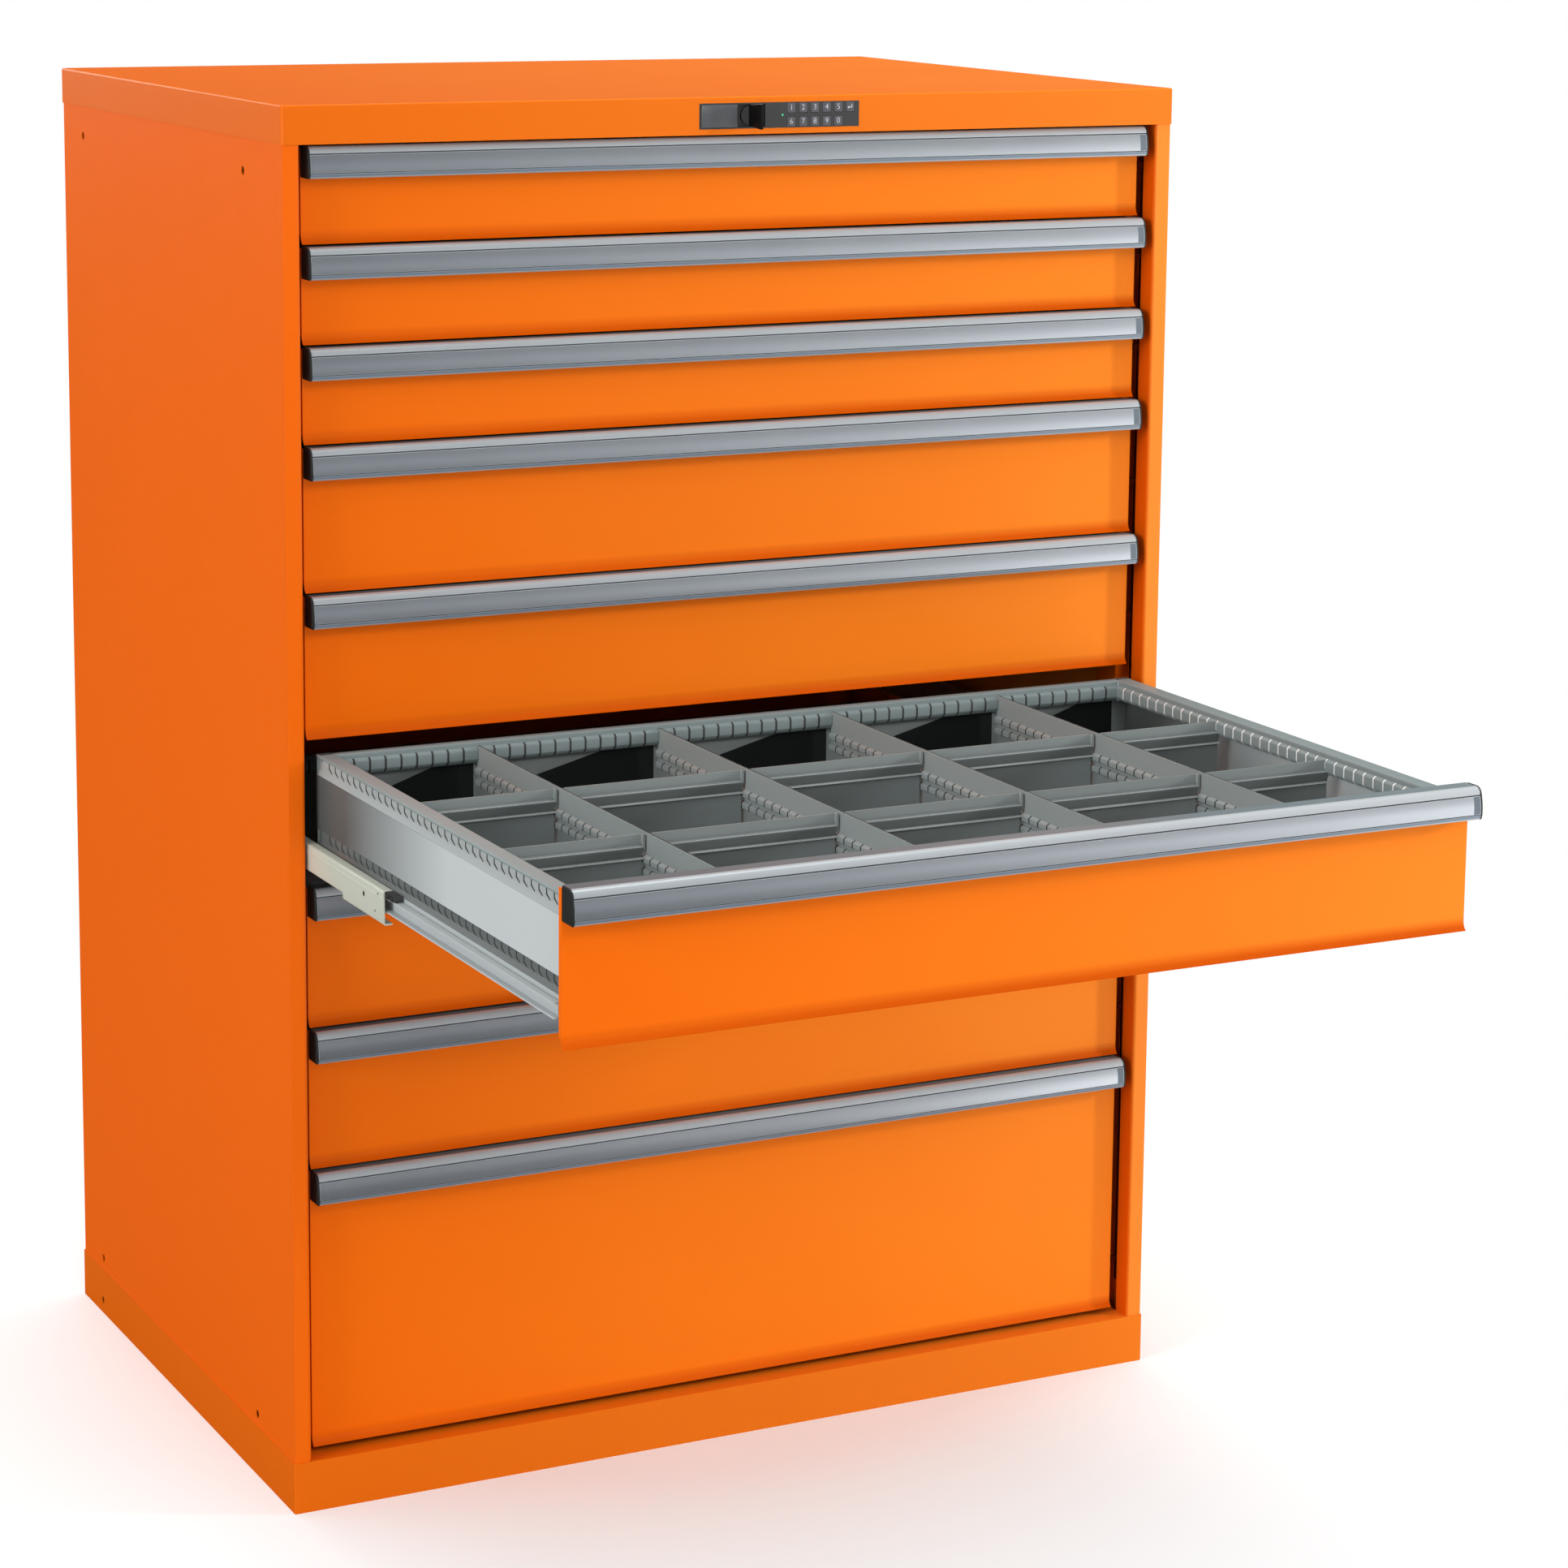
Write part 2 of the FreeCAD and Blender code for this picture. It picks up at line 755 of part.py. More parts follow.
def lock_housing():
    """Black strip with a well for the thumb turn, pockets for the keys and a status light."""
    face = case_front - size.lock_proud
    body = new_body("lock_case")
    pad(body, "XZ_Plane", face, size.lock_thickness, rectangle(
        lock_left, lock_right, lock_axis - size.lock_height / 2, lock_axis + size.lock_height / 2))
    pocket(body, "XZ_Plane", face, size.lock_proud + size.well_floor, outlines=[rectangle(
        -size.well_width / 2, size.well_width / 2,
        lock_axis - size.well_height / 2, lock_axis + size.well_height / 2)])
    pocket(body, "XZ_Plane", face, size.lock_thickness,
           circles=[(0, lock_axis, size.shaft_radius + size.shaft_play)])
    half_wide = size.key_width / 2 + size.key_gap
    half_high = size.key_height / 2 + size.key_gap
    pockets = []
    for row, names in enumerate(KEY_ROWS):
        for column in range(len(names)):
            across, up = key_place(row, column)
            pockets.append(rectangle(across - half_wide, across + half_wide, up - half_high, up + half_high))
    key_room = size.key_thickness - size.key_proud + size.key_travel + size.key_gap
    pocket(body, "XZ_Plane", face, key_room, outlines=pockets)
    pocket(body, "XZ_Plane", face, size.key_thickness,
           circles=[(light_across, lock_axis, size.light_radius)])
    light = rod("status_light", "y", (light_across, face, lock_axis),
                size.light_radius, size.key_thickness)
    plate = block(
        "lock_plate",
        (lock_left + size.plate_margin, face - size.plate_proud, lock_axis - size.well_height / 2),
        (-size.well_width / 2, face, lock_axis + size.well_height / 2))
    node("lock_housing", [body, plate, light])


def keys():
    """One square key in each pocket, a little proud of the strip."""
    face = case_front - size.lock_proud - size.key_proud
    half_wide = size.key_width / 2
    half_high = size.key_height / 2
    for row, names in enumerate(KEY_ROWS):
        for column, name in enumerate(names):
            across, up = key_place(row, column)
            node(name, [block(
                name + "_cap",
                (across - half_wide, face, up - half_high),
                (across + half_wide, face + size.key_thickness, up + half_high))])


def lock_knob():
    """Thumb turn: wing, hub in the well, shaft through the strip, crank and pin behind it."""
    face = case_front - size.lock_proud
    well_bottom = case_front + size.well_floor
    hub_back = well_bottom - size.key_gap
    hub_front = hub_back - size.hub_thickness
    crank_front = face + size.lock_thickness + size.rail_running_gap
    crank_back = crank_front + size.crank_gauge
    wing_tip = case_front - size.turn_reach
    root_half = size.turn_root_height / 2
    tip_half = size.turn_height / 2
    wing = new_body("turn_wing")
    pad(wing, "YZ_Plane", -size.turn_thickness / 2, size.turn_thickness, [
        (hub_back, lock_axis - root_half),
        (hub_back, lock_axis + root_half),
        (face - size.lock_proud, lock_axis + root_half),
        (wing_tip, lock_axis + tip_half),
        (wing_tip, lock_axis - tip_half),
        (face - size.lock_proud, lock_axis - root_half),
    ])
    hub = rod("turn_hub", "y", (0, hub_front, lock_axis), size.hub_radius, size.hub_thickness)
    shaft = rod("turn_shaft", "y", (0, hub_front, lock_axis),
                size.shaft_radius, crank_back - hub_front)
    crank = block(
        "turn_crank",
        (-size.shaft_radius, crank_front, lock_axis - size.shaft_radius),
        (size.crank_radius + size.shaft_radius, crank_back, lock_axis + size.shaft_radius))
    pin = rod("turn_pin", "y", (size.crank_radius, crank_front, lock_axis),
              size.crank_pin_radius, bar_rear - crank_front + size.rail_running_gap)
    node("lock_knob", [joined("turn_solid", [wing, hub, shaft, crank, pin])])


# Drawers. A drawer is built with the outside of its front at y = 0 and its cell's floor at z = 0.

front_half = opening_half - size.front_side_gap
metal_half = front_half - size.cap_thickness


def tray(kind):
    """Folded tray with a rolled rim, a rail along each side and the lug that the bar catches."""
    gauge = size.tray_gauge
    bottom = size.tray_lift
    rim = front_height[kind] - size.tray_rim_drop
    lip_end = rim - size.tray_lip
    inner = size.usable_width / 2
    body = new_body("tray_%s" % kind)
    pad(body, "XZ_Plane", tray_front, tray_rear - tray_front, [
        (-tray_half, bottom),
        (tray_half, bottom),
        (tray_half, rim),
        (inner, rim),
        (inner, lip_end),
        (inner + gauge, lip_end),
        (inner + gauge, rim - gauge),
        (tray_half - gauge, rim - gauge),
        (tray_half - gauge, bottom + gauge),
        (gauge - tray_half, bottom + gauge),
        (gauge - tray_half, rim - gauge),
        (-(inner + gauge), rim - gauge),
        (-(inner + gauge), lip_end),
        (-inner, lip_end),
        (-inner, rim),
        (-tray_half, rim),
    ])
    pad(body, "XZ_Plane", tray_front, gauge, rectangle(-tray_half, tray_half, bottom, rim))
    pad(body, "YZ_Plane", gauge / 2 - tray_half, 2 * tray_half - gauge, [
        (tray_inside_rear, rim),
        (tray_rear, rim),
        (tray_rear, bottom),
        (tray_rear - gauge, bottom),
        (tray_rear - gauge, rim - gauge),
        (tray_inside_rear + gauge, rim - gauge),
        (tray_inside_rear + gauge, lip_end),
        (tray_inside_rear, lip_end),
    ])
    pieces = [body]
    reach = tray_half + size.tray_rail_reach
    steel = size.rail_gauge
    top = bottom + size.tray_rail_height
    for hand, word in ((-1, "left"), (1, "right")):
        rail = new_body("tray_rail_%s_%s" % (kind, word))
        pad(rail, "XZ_Plane", size.tray_rail_start, tray_rear - size.tray_rail_start, [
            (hand * tray_half, bottom),
            (hand * reach, bottom),
            (hand * reach, bottom + steel),
            (hand * (tray_half + steel), bottom + steel),
            (hand * (tray_half + steel), top - steel),
            (hand * reach, top - steel),
            (hand * reach, top),
            (hand * tray_half, top),
        ])
        pieces.append(rail)
    pieces.append(block(
        "lug_%s" % kind,
        (tray_half, size.lug_setback, size.lug_rise),
        (tray_half + size.lug_reach, size.lug_setback + size.lug_gauge, size.lug_rise + size.lug_height)))
    return pieces


def drawer_front(kind):
    """Painted front sheet with a flared lower lip and a short return at each end."""
    gauge = size.front_gauge
    top = front_height[kind] - size.handle_drop - size.handle_wall
    lip = size.lip_height
    flare = size.lip_flare
    sweep = (lip * lip + flare * flare) / (2 * flare)
    body = new_body("front_%s" % kind)
    pad(body, "YZ_Plane", -front_half, 2 * front_half, [
        straight(0, top),
        straight(0, lip),
        Bow(-flare, 0, sweep, False),
        straight(gauge - flare, 0),
        Bow(gauge, lip, sweep, True),
        straight(gauge, top),
    ])
    for hand in (-1, 1):
        pad(body, "XY_Plane", lip, top - lip, rectangle(
            hand * (front_half - gauge), hand * front_half, 0, size.front_return))
    return [body]


def handle():
    """Aluminium grip with a rolled shoulder, a label groove and a black cap at each end."""
    wall = size.handle_wall
    deep = size.handle_depth
    high = size.handle_height
    shoulder = size.handle_shoulder
    belly = size.handle_belly
    grip = deep - 2 * belly
    leg = size.handle_leg
    groove = belly * 0.7
    body = new_body("handle_profile")
    pad(body, "YZ_Plane", -metal_half, 2 * metal_half, [
        straight(size.handle_overhang, 0),
        straight(shoulder - grip, 0),
        Bow(-grip, -shoulder, shoulder, True),
        straight(groove - grip, -shoulder),
        straight(groove - grip, -shoulder - groove),
        straight(-grip, -shoulder - groove),
        straight(-grip, shoulder - high),
        straight(-grip - belly, shoulder - high),
        straight(-deep, -high),
        straight(wall - deep, -high),
        straight(wall - grip, shoulder - high),
        straight(wall - grip, -shoulder),
        Bow(shoulder - grip, -wall, shoulder - wall, False),
        straight(-wall, -wall),
        straight(-wall, -leg),
        straight(0, -leg),
        straight(0, -wall),
        straight(size.handle_overhang, -wall),
    ])
    pieces = [body]
    bulge = high * 1.6
    for hand, word in ((-1, "left"), (1, "right")):
        start = -front_half if hand < 0 else metal_half
        cap = new_body("handle_cap_%s" % word)
        pad(cap, "YZ_Plane", start, size.cap_thickness, [
            straight(0, 0),
            straight(shoulder - grip, 0),
            Bow(-grip, -shoulder, shoulder, True),
            Bow(-deep, -high, bulge, True),
            straight(0, -high),
        ])
        pieces.append(cap)
    return pieces


def middle_rails():
    """A pair of cream channels with a deeper nose and a black buffer at the front."""
    pieces = []
    web_out = rail_web_outside
    web_in = web_out - size.rail_gauge
    flange = web_out - size.rail_flange
    top = size.rail_top
    nose = size.rail_setback - size.front_inset
    nose_end = nose + size.rail_nose_length
    tail = back_inside - face_plane - size.rail_tail_gap
    steel = size.rail_gauge
    under_post = top - steel
    for hand, word in ((-1, "left"), (1, "right")):
        body = new_body("middle_rail_%s" % word)
        for start, end, low in (
            (nose, nose_end, top - size.rail_nose_height),
            (nose_end, tail, top - size.rail_height),
        ):
            pad(body, "XZ_Plane", start, end - start, [
                (hand * web_out, low),
                (hand * web_out, top),
                (hand * flange, top),
                (hand * flange, under_post),
                (hand * web_in, under_post),
                (hand * web_in, low + steel),
                (hand * flange, low + steel),
                (hand * flange, low),
            ])
        pieces.append(body)
        low_x, high_x = sorted(
            (hand * (flange - size.rail_running_gap * 2), hand * web_in), key=lambda item: item.value)
        buffer_low = size.tray_lift + size.tray_rail_height + size.rail_running_gap
        pieces.append(block(
            "buffer_%s" % word,
            (low_x, nose - size.buffer_length, buffer_low),
            (high_x, nose, top)))
    return pieces


def fixed_rail_pair():
    """A pair of channels on the uprights that hold the middle rails from outside."""
    pieces = []
    gap = size.fixed_rail_clearance
    steel = size.rail_gauge
    high = size.rail_top + gap
    low = size.rail_top - size.rail_nose_height - gap
    flange = fixed_web_outside - size.fixed_rail_flange
    start = size.fixed_rail_setback - size.front_inset
    tail = back_inside - face_plane - size.rail_tail_gap
    for hand, word in ((-1, "left"), (1, "right")):
        body = new_body("fixed_rail_%s" % word)
        pad(body, "XZ_Plane", start, tail - start, [
            (hand * fixed_web_outside, low - steel),
            (hand * fixed_web_outside, high + steel),
            (hand * flange, high + steel),
            (hand * flange, high),
            (hand * fixed_web_inside, high),
            (hand * fixed_web_inside, low),
            (hand * flange, low),
            (hand * flange, low - steel),
        ])
        pieces.append(body)
    return pieces


def partition_places():
    """Middle lines of the partitions."""
    slot = size.usable_width / SLOT_COUNT
    return [slot * count - size.usable_width / 2 for count in PARTITION_SLOT_COUNTS]


open_rim = front_height[STACK[OPEN_DRAWER]] - size.tray_rim_drop
tray_floor = size.tray_lift + size.tray_gauge
partition_top = open_rim - size.partition_drop
bead_face = size.partition_gauge / 2 + size.slot_bead_reach


def partitions():
    """Upright sheets from front to back, each with two slotted beads on both faces."""
    half = size.partition_gauge / 2
    slope = size.slot_bead_reach
    pieces = []
    bead_tops = []
    bead_top = partition_top - size.partition_band
    for _ in range(2):
        bead_tops.append(bead_top)
        bead_top = bead_top - size.slot_bead - size.slot_bead_gap
    for index, middle in enumerate(partition_places()):
        right = [(middle + half, partition_top)]
        left = [(middle - half, partition_top)]
        for top in bead_tops:
            for side, sign in ((right, 1), (left, -1)):
                side.append((middle + sign * half, top))
                side.append((middle + sign * bead_face, top - slope / 2))
                side.append((middle + sign * bead_face, top - size.slot_bead + slope / 2))
                side.append((middle + sign * half, top - size.slot_bead))
        right.append((middle + half, tray_floor))
        left.append((middle - half, tray_floor))
        body = new_body("partition_%d" % (index + 1))
        pad(body, "XZ_Plane", tray_inside_front, size.usable_depth, right + left[::-1])
        pieces.append(body)
    return pieces


def dividers():
    """Folded cross sheets between the partitions, with an upright label band and a ledge."""
    gauge = size.divider_gauge
    top = open_rim - size.divider_drop
    ledge = top - size.divider_band
    foot = ledge - size.divider_slope
    edges = [-size.usable_width / 2] + partition_places() + [size.usable_width / 2]
    pieces = []
    for row in range(1, DIVIDER_ROWS + 1):
        middle = tray_inside_rear - size.usable_depth * (row / (DIVIDER_ROWS + 1))
        for column in range(len(edges) - 1):
            left_room = bead_face if column > 0 else as_length(0)
            right_room = bead_face if column < len(edges) - 2 else as_length(0)
            left = edges[column] + left_room + size.divider_play
            right = edges[column + 1] - right_room - size.divider_play
            front = middle - size.divider_ledge
            body = new_body("divider_%d_%d" % (row, column + 1))
            pad(body, "YZ_Plane", left, right - left, [
                (middle, top),
                (middle, ledge),
                (front, ledge - gauge),
                (front, ledge - 3 * gauge),
                (middle, foot),
                (middle, tray_floor),
                (middle + gauge, tray_floor),
                (middle + gauge, foot),
                (front + gauge, ledge - 3 * gauge),
                (front + gauge, ledge - 2 * gauge),
                (middle + gauge, ledge - gauge),
                (middle + gauge, top),
            ])
            pieces.append(body)
    return pieces


def drawers():
    """Place a tray, a front, a handle and a rail pair in each cell of the stack."""
    kinds = sorted(set(STACK.values()))
    trays = {kind: tray(kind) for kind in kinds}
    fronts = {kind: drawer_front(kind) for kind in kinds}
    grip = handle()
    rails = middle_rails()
    fixed = fixed_rail_pair()
    fixed_pairs = []
    for name, kind in STACK.items():
        open_by = drawer_travel if name == OPEN_DRAWER else as_length(0)
        place = (0, face_plane - open_by, cell_floor[name])
        handle_top = cell_floor[name] + front_height[kind] - size.handle_drop
        node(name + "_tray", trays[kind], place)
        node(name + "_front", fronts[kind], place)
        node(name + "_handle", grip, (0, place[1], handle_top))
        node(name + "_middle_rails", rails, (0, face_plane - open_by / 2, cell_floor[name]))
        if name == OPEN_DRAWER:
            node(name + "_partitions", partitions(), place)
            node(name + "_dividers", dividers(), place)
        fixed_pairs.append(collected(
            "fixed_rail_pair_" + name, fixed, (0, face_plane, cell_floor[name])))
    node("fixed_rails", fixed_pairs)


side_panel("side_panel_left", -1)
side_panel("side_panel_right", 1)
top_cover()
plinth()
floor_pan()
back_panel()
uprights()
locking_bar()
lock_housing()
lock_knob()
keys()
drawers()
doc.recompute()

faulty = [item.Label for item in doc.Objects if {"Invalid", "Error"} & set(item.State)]
if faulty:
    raise RuntimeError("these objects could not be made: " + ", ".join(faulty))
for name, item in nodes.items():
    shape = item.Shape
    if shape.isNull() or not shape.isValid() or not shape.Solids:
        raise RuntimeError(name + " has no valid solid")

os.makedirs("parts", exist_ok=True)
for name, item in nodes.items():
    item.Shape.exportStep(os.path.join("parts", name + ".step"))

box = Part.makeCompound([item.Shape for item in nodes.values()]).BoundBox
print("%d sub-parts, %d solids" % (len(nodes), sum(len(item.Shape.Solids) for item in nodes.values())))
print("case %.1f wide, %.1f deep, %.1f high" % (2 * case_half.value, case_depth.value, case_height.value))
print("whole model %.1f by %.1f by %.1f" % (box.XLength, box.YLength, box.ZLength))
print("drawer travel %.1f" % drawer_travel.value)
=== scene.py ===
"""Looks of a nine-drawer steel workshop cabinet whose sixth drawer stands fully open.

Each sub-assembly is a class that holds its sizes in millimetres and builds its pieces in the
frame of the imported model: metres, +X to the viewer's right, -Y towards the viewer, +Z up.
"""

import json
import logging
import math
from dataclasses import dataclass
from enum import Enum
from typing import Iterable, Sequence

import bmesh
import bpy
from mathutils import Matrix, Vector

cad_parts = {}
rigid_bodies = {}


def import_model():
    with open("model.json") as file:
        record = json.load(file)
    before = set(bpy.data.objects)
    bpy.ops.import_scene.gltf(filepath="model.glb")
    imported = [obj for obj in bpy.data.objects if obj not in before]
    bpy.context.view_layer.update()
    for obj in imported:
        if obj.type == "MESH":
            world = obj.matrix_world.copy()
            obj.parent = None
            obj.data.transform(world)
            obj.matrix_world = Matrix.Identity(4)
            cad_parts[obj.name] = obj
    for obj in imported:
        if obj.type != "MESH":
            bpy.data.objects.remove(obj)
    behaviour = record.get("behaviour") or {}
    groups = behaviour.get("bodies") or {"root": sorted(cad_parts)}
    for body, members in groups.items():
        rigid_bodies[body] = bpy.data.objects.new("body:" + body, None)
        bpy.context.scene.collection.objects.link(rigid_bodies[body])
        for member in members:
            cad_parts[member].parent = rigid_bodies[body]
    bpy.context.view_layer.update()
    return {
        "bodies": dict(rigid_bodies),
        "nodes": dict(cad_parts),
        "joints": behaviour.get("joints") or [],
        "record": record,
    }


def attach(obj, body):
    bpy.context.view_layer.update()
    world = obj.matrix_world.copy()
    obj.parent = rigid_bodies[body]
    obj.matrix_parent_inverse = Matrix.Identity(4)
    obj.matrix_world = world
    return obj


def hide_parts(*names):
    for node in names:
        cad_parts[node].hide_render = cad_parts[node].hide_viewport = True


LOG = logging.getLogger("drawer_cabinet")
MM = 0.001
IMAGE_SIDE = 1932
BEVEL_ANGLE = math.radians(50.0)
CRISP_ANGLE = math.radians(35.0)

Point2 = tuple[float, float]
Point3 = tuple[float, float, float]
Colour = tuple[float, float, float]


class Axis(Enum):
    """The world axis that a profile is swept along."""

    X = "x"
    Y = "y"
    Z = "z"


class Kind(Enum):
    """How tall a drawer's front is, in millimetres."""

    SHALLOW = 100.0
    MEDIUM = 150.0
    DEEP = 300.0


STACK: tuple[Kind, ...] = (Kind.SHALLOW,) * 3 + (Kind.MEDIUM,) * 5 + (Kind.DEEP,)
OPEN_DRAWER = 6


# Shader graphs


class Value:
    """A socket that takes part in Python arithmetic, which adds the Math nodes it needs."""

    def __init__(self, graph: "Graph", socket: bpy.types.NodeSocket) -> None:
        """Wrap one output socket of a graph."""
        self.graph = graph
        self.socket = socket

    def _maths(self, operation: str, first: object, second: object = None) -> "Value":
        """Add one Math node.

        Args:
            operation: the node's operation.
            first: a Value or a number.
            second: a Value or a number, where the operation takes two.

        Returns:
            The node's result.
        """
        inputs = [first] if second is None else [first, second]
        return self.graph.node("ShaderNodeMath", {"operation": operation}, dict(enumerate(inputs)))

    def __add__(self, other: object) -> "Value":
        """Sum."""
        return self._maths("ADD", self, other)

    def __radd__(self, other: object) -> "Value":
        """Sum with a number on the left."""
        return self._maths("ADD", other, self)

    def __sub__(self, other: object) -> "Value":
        """Difference."""
        return self._maths("SUBTRACT", self, other)

    def __rsub__(self, other: object) -> "Value":
        """Difference with a number on the left."""
        return self._maths("SUBTRACT", other, self)

    def __mul__(self, other: object) -> "Value":
        """Product."""
        return self._maths("MULTIPLY", self, other)

    def __rmul__(self, other: object) -> "Value":
        """Product with a number on the left."""
        return self._maths("MULTIPLY", other, self)

    def __truediv__(self, other: object) -> "Value":
        """Quotient."""
        return self._maths("DIVIDE", self, other)

    def clamped(self) -> "Value":
        """The value held between 0 and 1."""
        return self.graph.node("ShaderNodeClamp", {}, {"Value": self})

    def fraction(self) -> "Value":
        """What is left of the value after its whole number."""
        return self._maths("FRACT", self)


class Graph:
    """A material's or the world's node tree, with one method for every kind of node."""

    def __init__(self, tree: bpy.types.NodeTree) -> None:
        """Take over a tree and empty it."""
        self.tree = tree
        tree.nodes.clear()

    def node(self, kind: str, settings: dict, inputs: dict, output: object = 0) -> Value:
        """Add a node.

        Args:
            kind: the node's type.
            settings: its properties, set before its inputs.
            inputs: values or links by the socket's name or number.
            output: the name or number of the socket that is returned.

        Returns:
            The chosen output.
        """
        made = self.tree.nodes.new(kind)
        for key, item in settings.items():
            setattr(made, key, item)
        for key, item in inputs.items():
            if isinstance(item, Value):
                self.tree.links.new(item.socket, made.inputs[key])
            else:
                made.inputs[key].default_value = item
        return Value(self, made.outputs[output])

    def place(self) -> Value:
        """Object coordinates, which are the row frame's metres."""
        return self.node("ShaderNodeTexCoord", {}, {}, "Object")

    def scaled_place(self, scale: Point3) -> Value:
        """Object coordinates times a scale along each axis."""
        return self.node(
            "ShaderNodeVectorMath", {"operation": "MULTIPLY"}, {0: self.place(), 1: scale})

    def part(self, axis: Axis) -> Value:
        """One coordinate of the place on the object, in metres."""
        return self.node("ShaderNodeSeparateXYZ", {}, {0: self.place()}, axis.value.upper())

    def noise(self, scale: Point3, detail: float = 2.0) -> Value:
        """Noise around 0.5 with a scale of its own along each axis."""
        return self.node("ShaderNodeTexNoise", {}, {
            "Vector": self.scaled_place(scale), "Scale": 1.0, "Detail": detail})

    def mixed(self, factor: object, first: object, second: object) -> Value:
        """Blend two colours."""
        node = self.tree.nodes.new("ShaderNodeMix")
        node.data_type = "RGBA"
        for index, item in ((0, factor), (6, first), (7, second)):
            if isinstance(item, Value):
                self.tree.links.new(item.socket, node.inputs[index])
            elif index:
                node.inputs[index].default_value = (*item, 1.0)
            else:
                node.inputs[index].default_value = item
        return Value(self, node.outputs[2])

    def bumped(self, height: Value, distance: float) -> Value:
        """A normal that follows a height, in metres."""
        return self.node("ShaderNodeBump", {}, {"Height": height, "Distance": distance, "Strength": 1.0})

    def surface(self, shader: Value, kind: str = "ShaderNodeOutputMaterial") -> None:
        """Link a shader to the output of the material, or of the world."""
        output = self.tree.nodes.new(kind)
        self.tree.links.new(shader.socket, output.inputs["Surface"])


# Finishes


@dataclass(frozen=True)
class Drift:
    """A slow change from 0 to 1 along an axis of the object, in metres, which may start anew."""

    axis: Axis = Axis.X
    first: float = -0.5
    last: float = 0.5
    origin: float = 0.0
    period: float = 0.0

    def share(self, graph: Graph) -> Value:
        """How far a point is along the change."""
        place = graph.part(self.axis) - self.origin
        if self.period:
            place = (place / self.period).fraction() * self.period
        return ((place - (self.first - self.origin)) / (self.last - self.first)).clamped()


def dimmed(colour: Colour, share: float) -> Colour:
    """A colour with each channel times a share."""
    return tuple(channel * share for channel in colour)


@dataclass(frozen=True)
class Skin:
    """Baked paint or anodising with a fine grain, whose colour may drift along the object as painted light and
    shade, and may turn darker towards a foot as painted shade.

    Noise scales are in waves per metre, and the peel's depth is in metres.
    """

    name: str
    colour: Colour
    last_colour: Colour
    roughness: float
    coat: float
    sheen: float
    peel: float = 0.00002
    metallic: float = 0.0
    drift: Drift = Drift()
    painted_shade_colour: Colour = (0.0, 0.0, 0.0)
    foot: Drift | None = None
    peel_scale: float = 900.0
    patch_scale: float = 14.0
    patch_range: float = 0.08
    cloud_scale: float = 3.0
    cloud_from: float = 0.35
    cloud_strength: float = 0.35
    cloud_share: float = 0.94
    coat_roughness: float = 0.12

    def material(self) -> bpy.types.Material:
        """Build the skin."""
        material, graph = new_material(self.name)
        # Painted light and shade: the colour runs from one end to the other, and turns to the painted shade
        # colour towards the foot.
        base = graph.mixed(self.drift.share(graph), self.colour, self.last_colour)
        if self.foot:
            base = graph.mixed(self.foot.share(graph), self.painted_shade_colour, base)
        cloud = graph.noise((self.cloud_scale,) * 3, 3.0)
        cloud = (cloud - self.cloud_from).clamped() * self.cloud_strength
        peel = graph.noise((self.peel_scale,) * 3, 1.0)
        patch = graph.noise((self.patch_scale,) * 3, 4.0) * self.patch_range
        graph.surface(graph.node("ShaderNodeBsdfPrincipled", {}, {
            "Base Color": graph.mixed(cloud, base, dimmed(self.colour, self.cloud_share)),
            "Metallic": self.metallic,
            "Roughness": patch + (self.roughness - self.patch_range / 2),
            "Specular IOR Level": self.sheen,
            "Coat Weight": self.coat,
            "Coat Roughness": self.coat_roughness,
            "Normal": graph.bumped(peel, self.peel)}))
        return material


def plain_skin(name: str, colour: Colour, roughness: float, coat: float, sheen: float) -> Skin:
    """Paint of one colour all over."""
    return Skin(name, colour, colour, roughness, coat, sheen)


def front_skin(name: str, floor: float, pitch: float) -> Skin:
    """The paint of the drawer fronts of one height, brightened from left to right by painted light, with
    painted shade on their lower lip.

    Args:
        name: the material's name.
        floor: height of the bottom of any of these drawers, in metres.
        pitch: how far apart the drawers are, in metres.

    Returns:
        The finish.
    """
    # Painted shade darkens the lip; painted light brightens the face towards the right.
    lip = Drift(Axis.Z, floor + 0.004, floor + 0.014, floor, pitch)
    return Skin(name, (0.83, 0.135, 0.001), (0.97, 0.245, 0.016), 0.38, 0.1, 0.05,
                painted_shade_colour=(0.66, 0.095, 0.0), foot=lip)


def grip_skin(name: str, left: Colour, right: Colour, roughness: float, sheen: float, metallic: float) -> Skin:
    """Smooth anodising of a handle, which brightens from left to right as a painted reflection."""
    return Skin(name, left, right, roughness, 0.0, sheen, peel=0.0, metallic=metallic)


@dataclass(frozen=True)
class PlatedSteel:
    """Zinc-plated steel with a fine spangle, its scales in waves per metre."""

    name: str
    colour: Colour
    roughness: float
    spangle_scale: float = 60.0
    cloud_scale: float = 9.0
    depth: float = 0.0000002
    dark_share: float = 0.9

    def material(self) -> bpy.types.Material:
        """Build the metal."""
        material, graph = new_material(self.name)
        spangle = graph.noise((self.spangle_scale,) * 3, 3.0)
        cloud = graph.noise((self.cloud_scale,) * 3, 3.0)
        tarnish = (spangle * 0.2 + cloud * 0.3).clamped()
        graph.surface(graph.node("ShaderNodeBsdfPrincipled", {}, {
            "Base Color": graph.mixed(tarnish, self.colour, dimmed(self.colour, self.dark_share)),
            "Metallic": 1.0,
            "Roughness": spangle * 0.02 + (self.roughness - 0.01),
            "Normal": graph.bumped(spangle, self.depth)}))
        return material


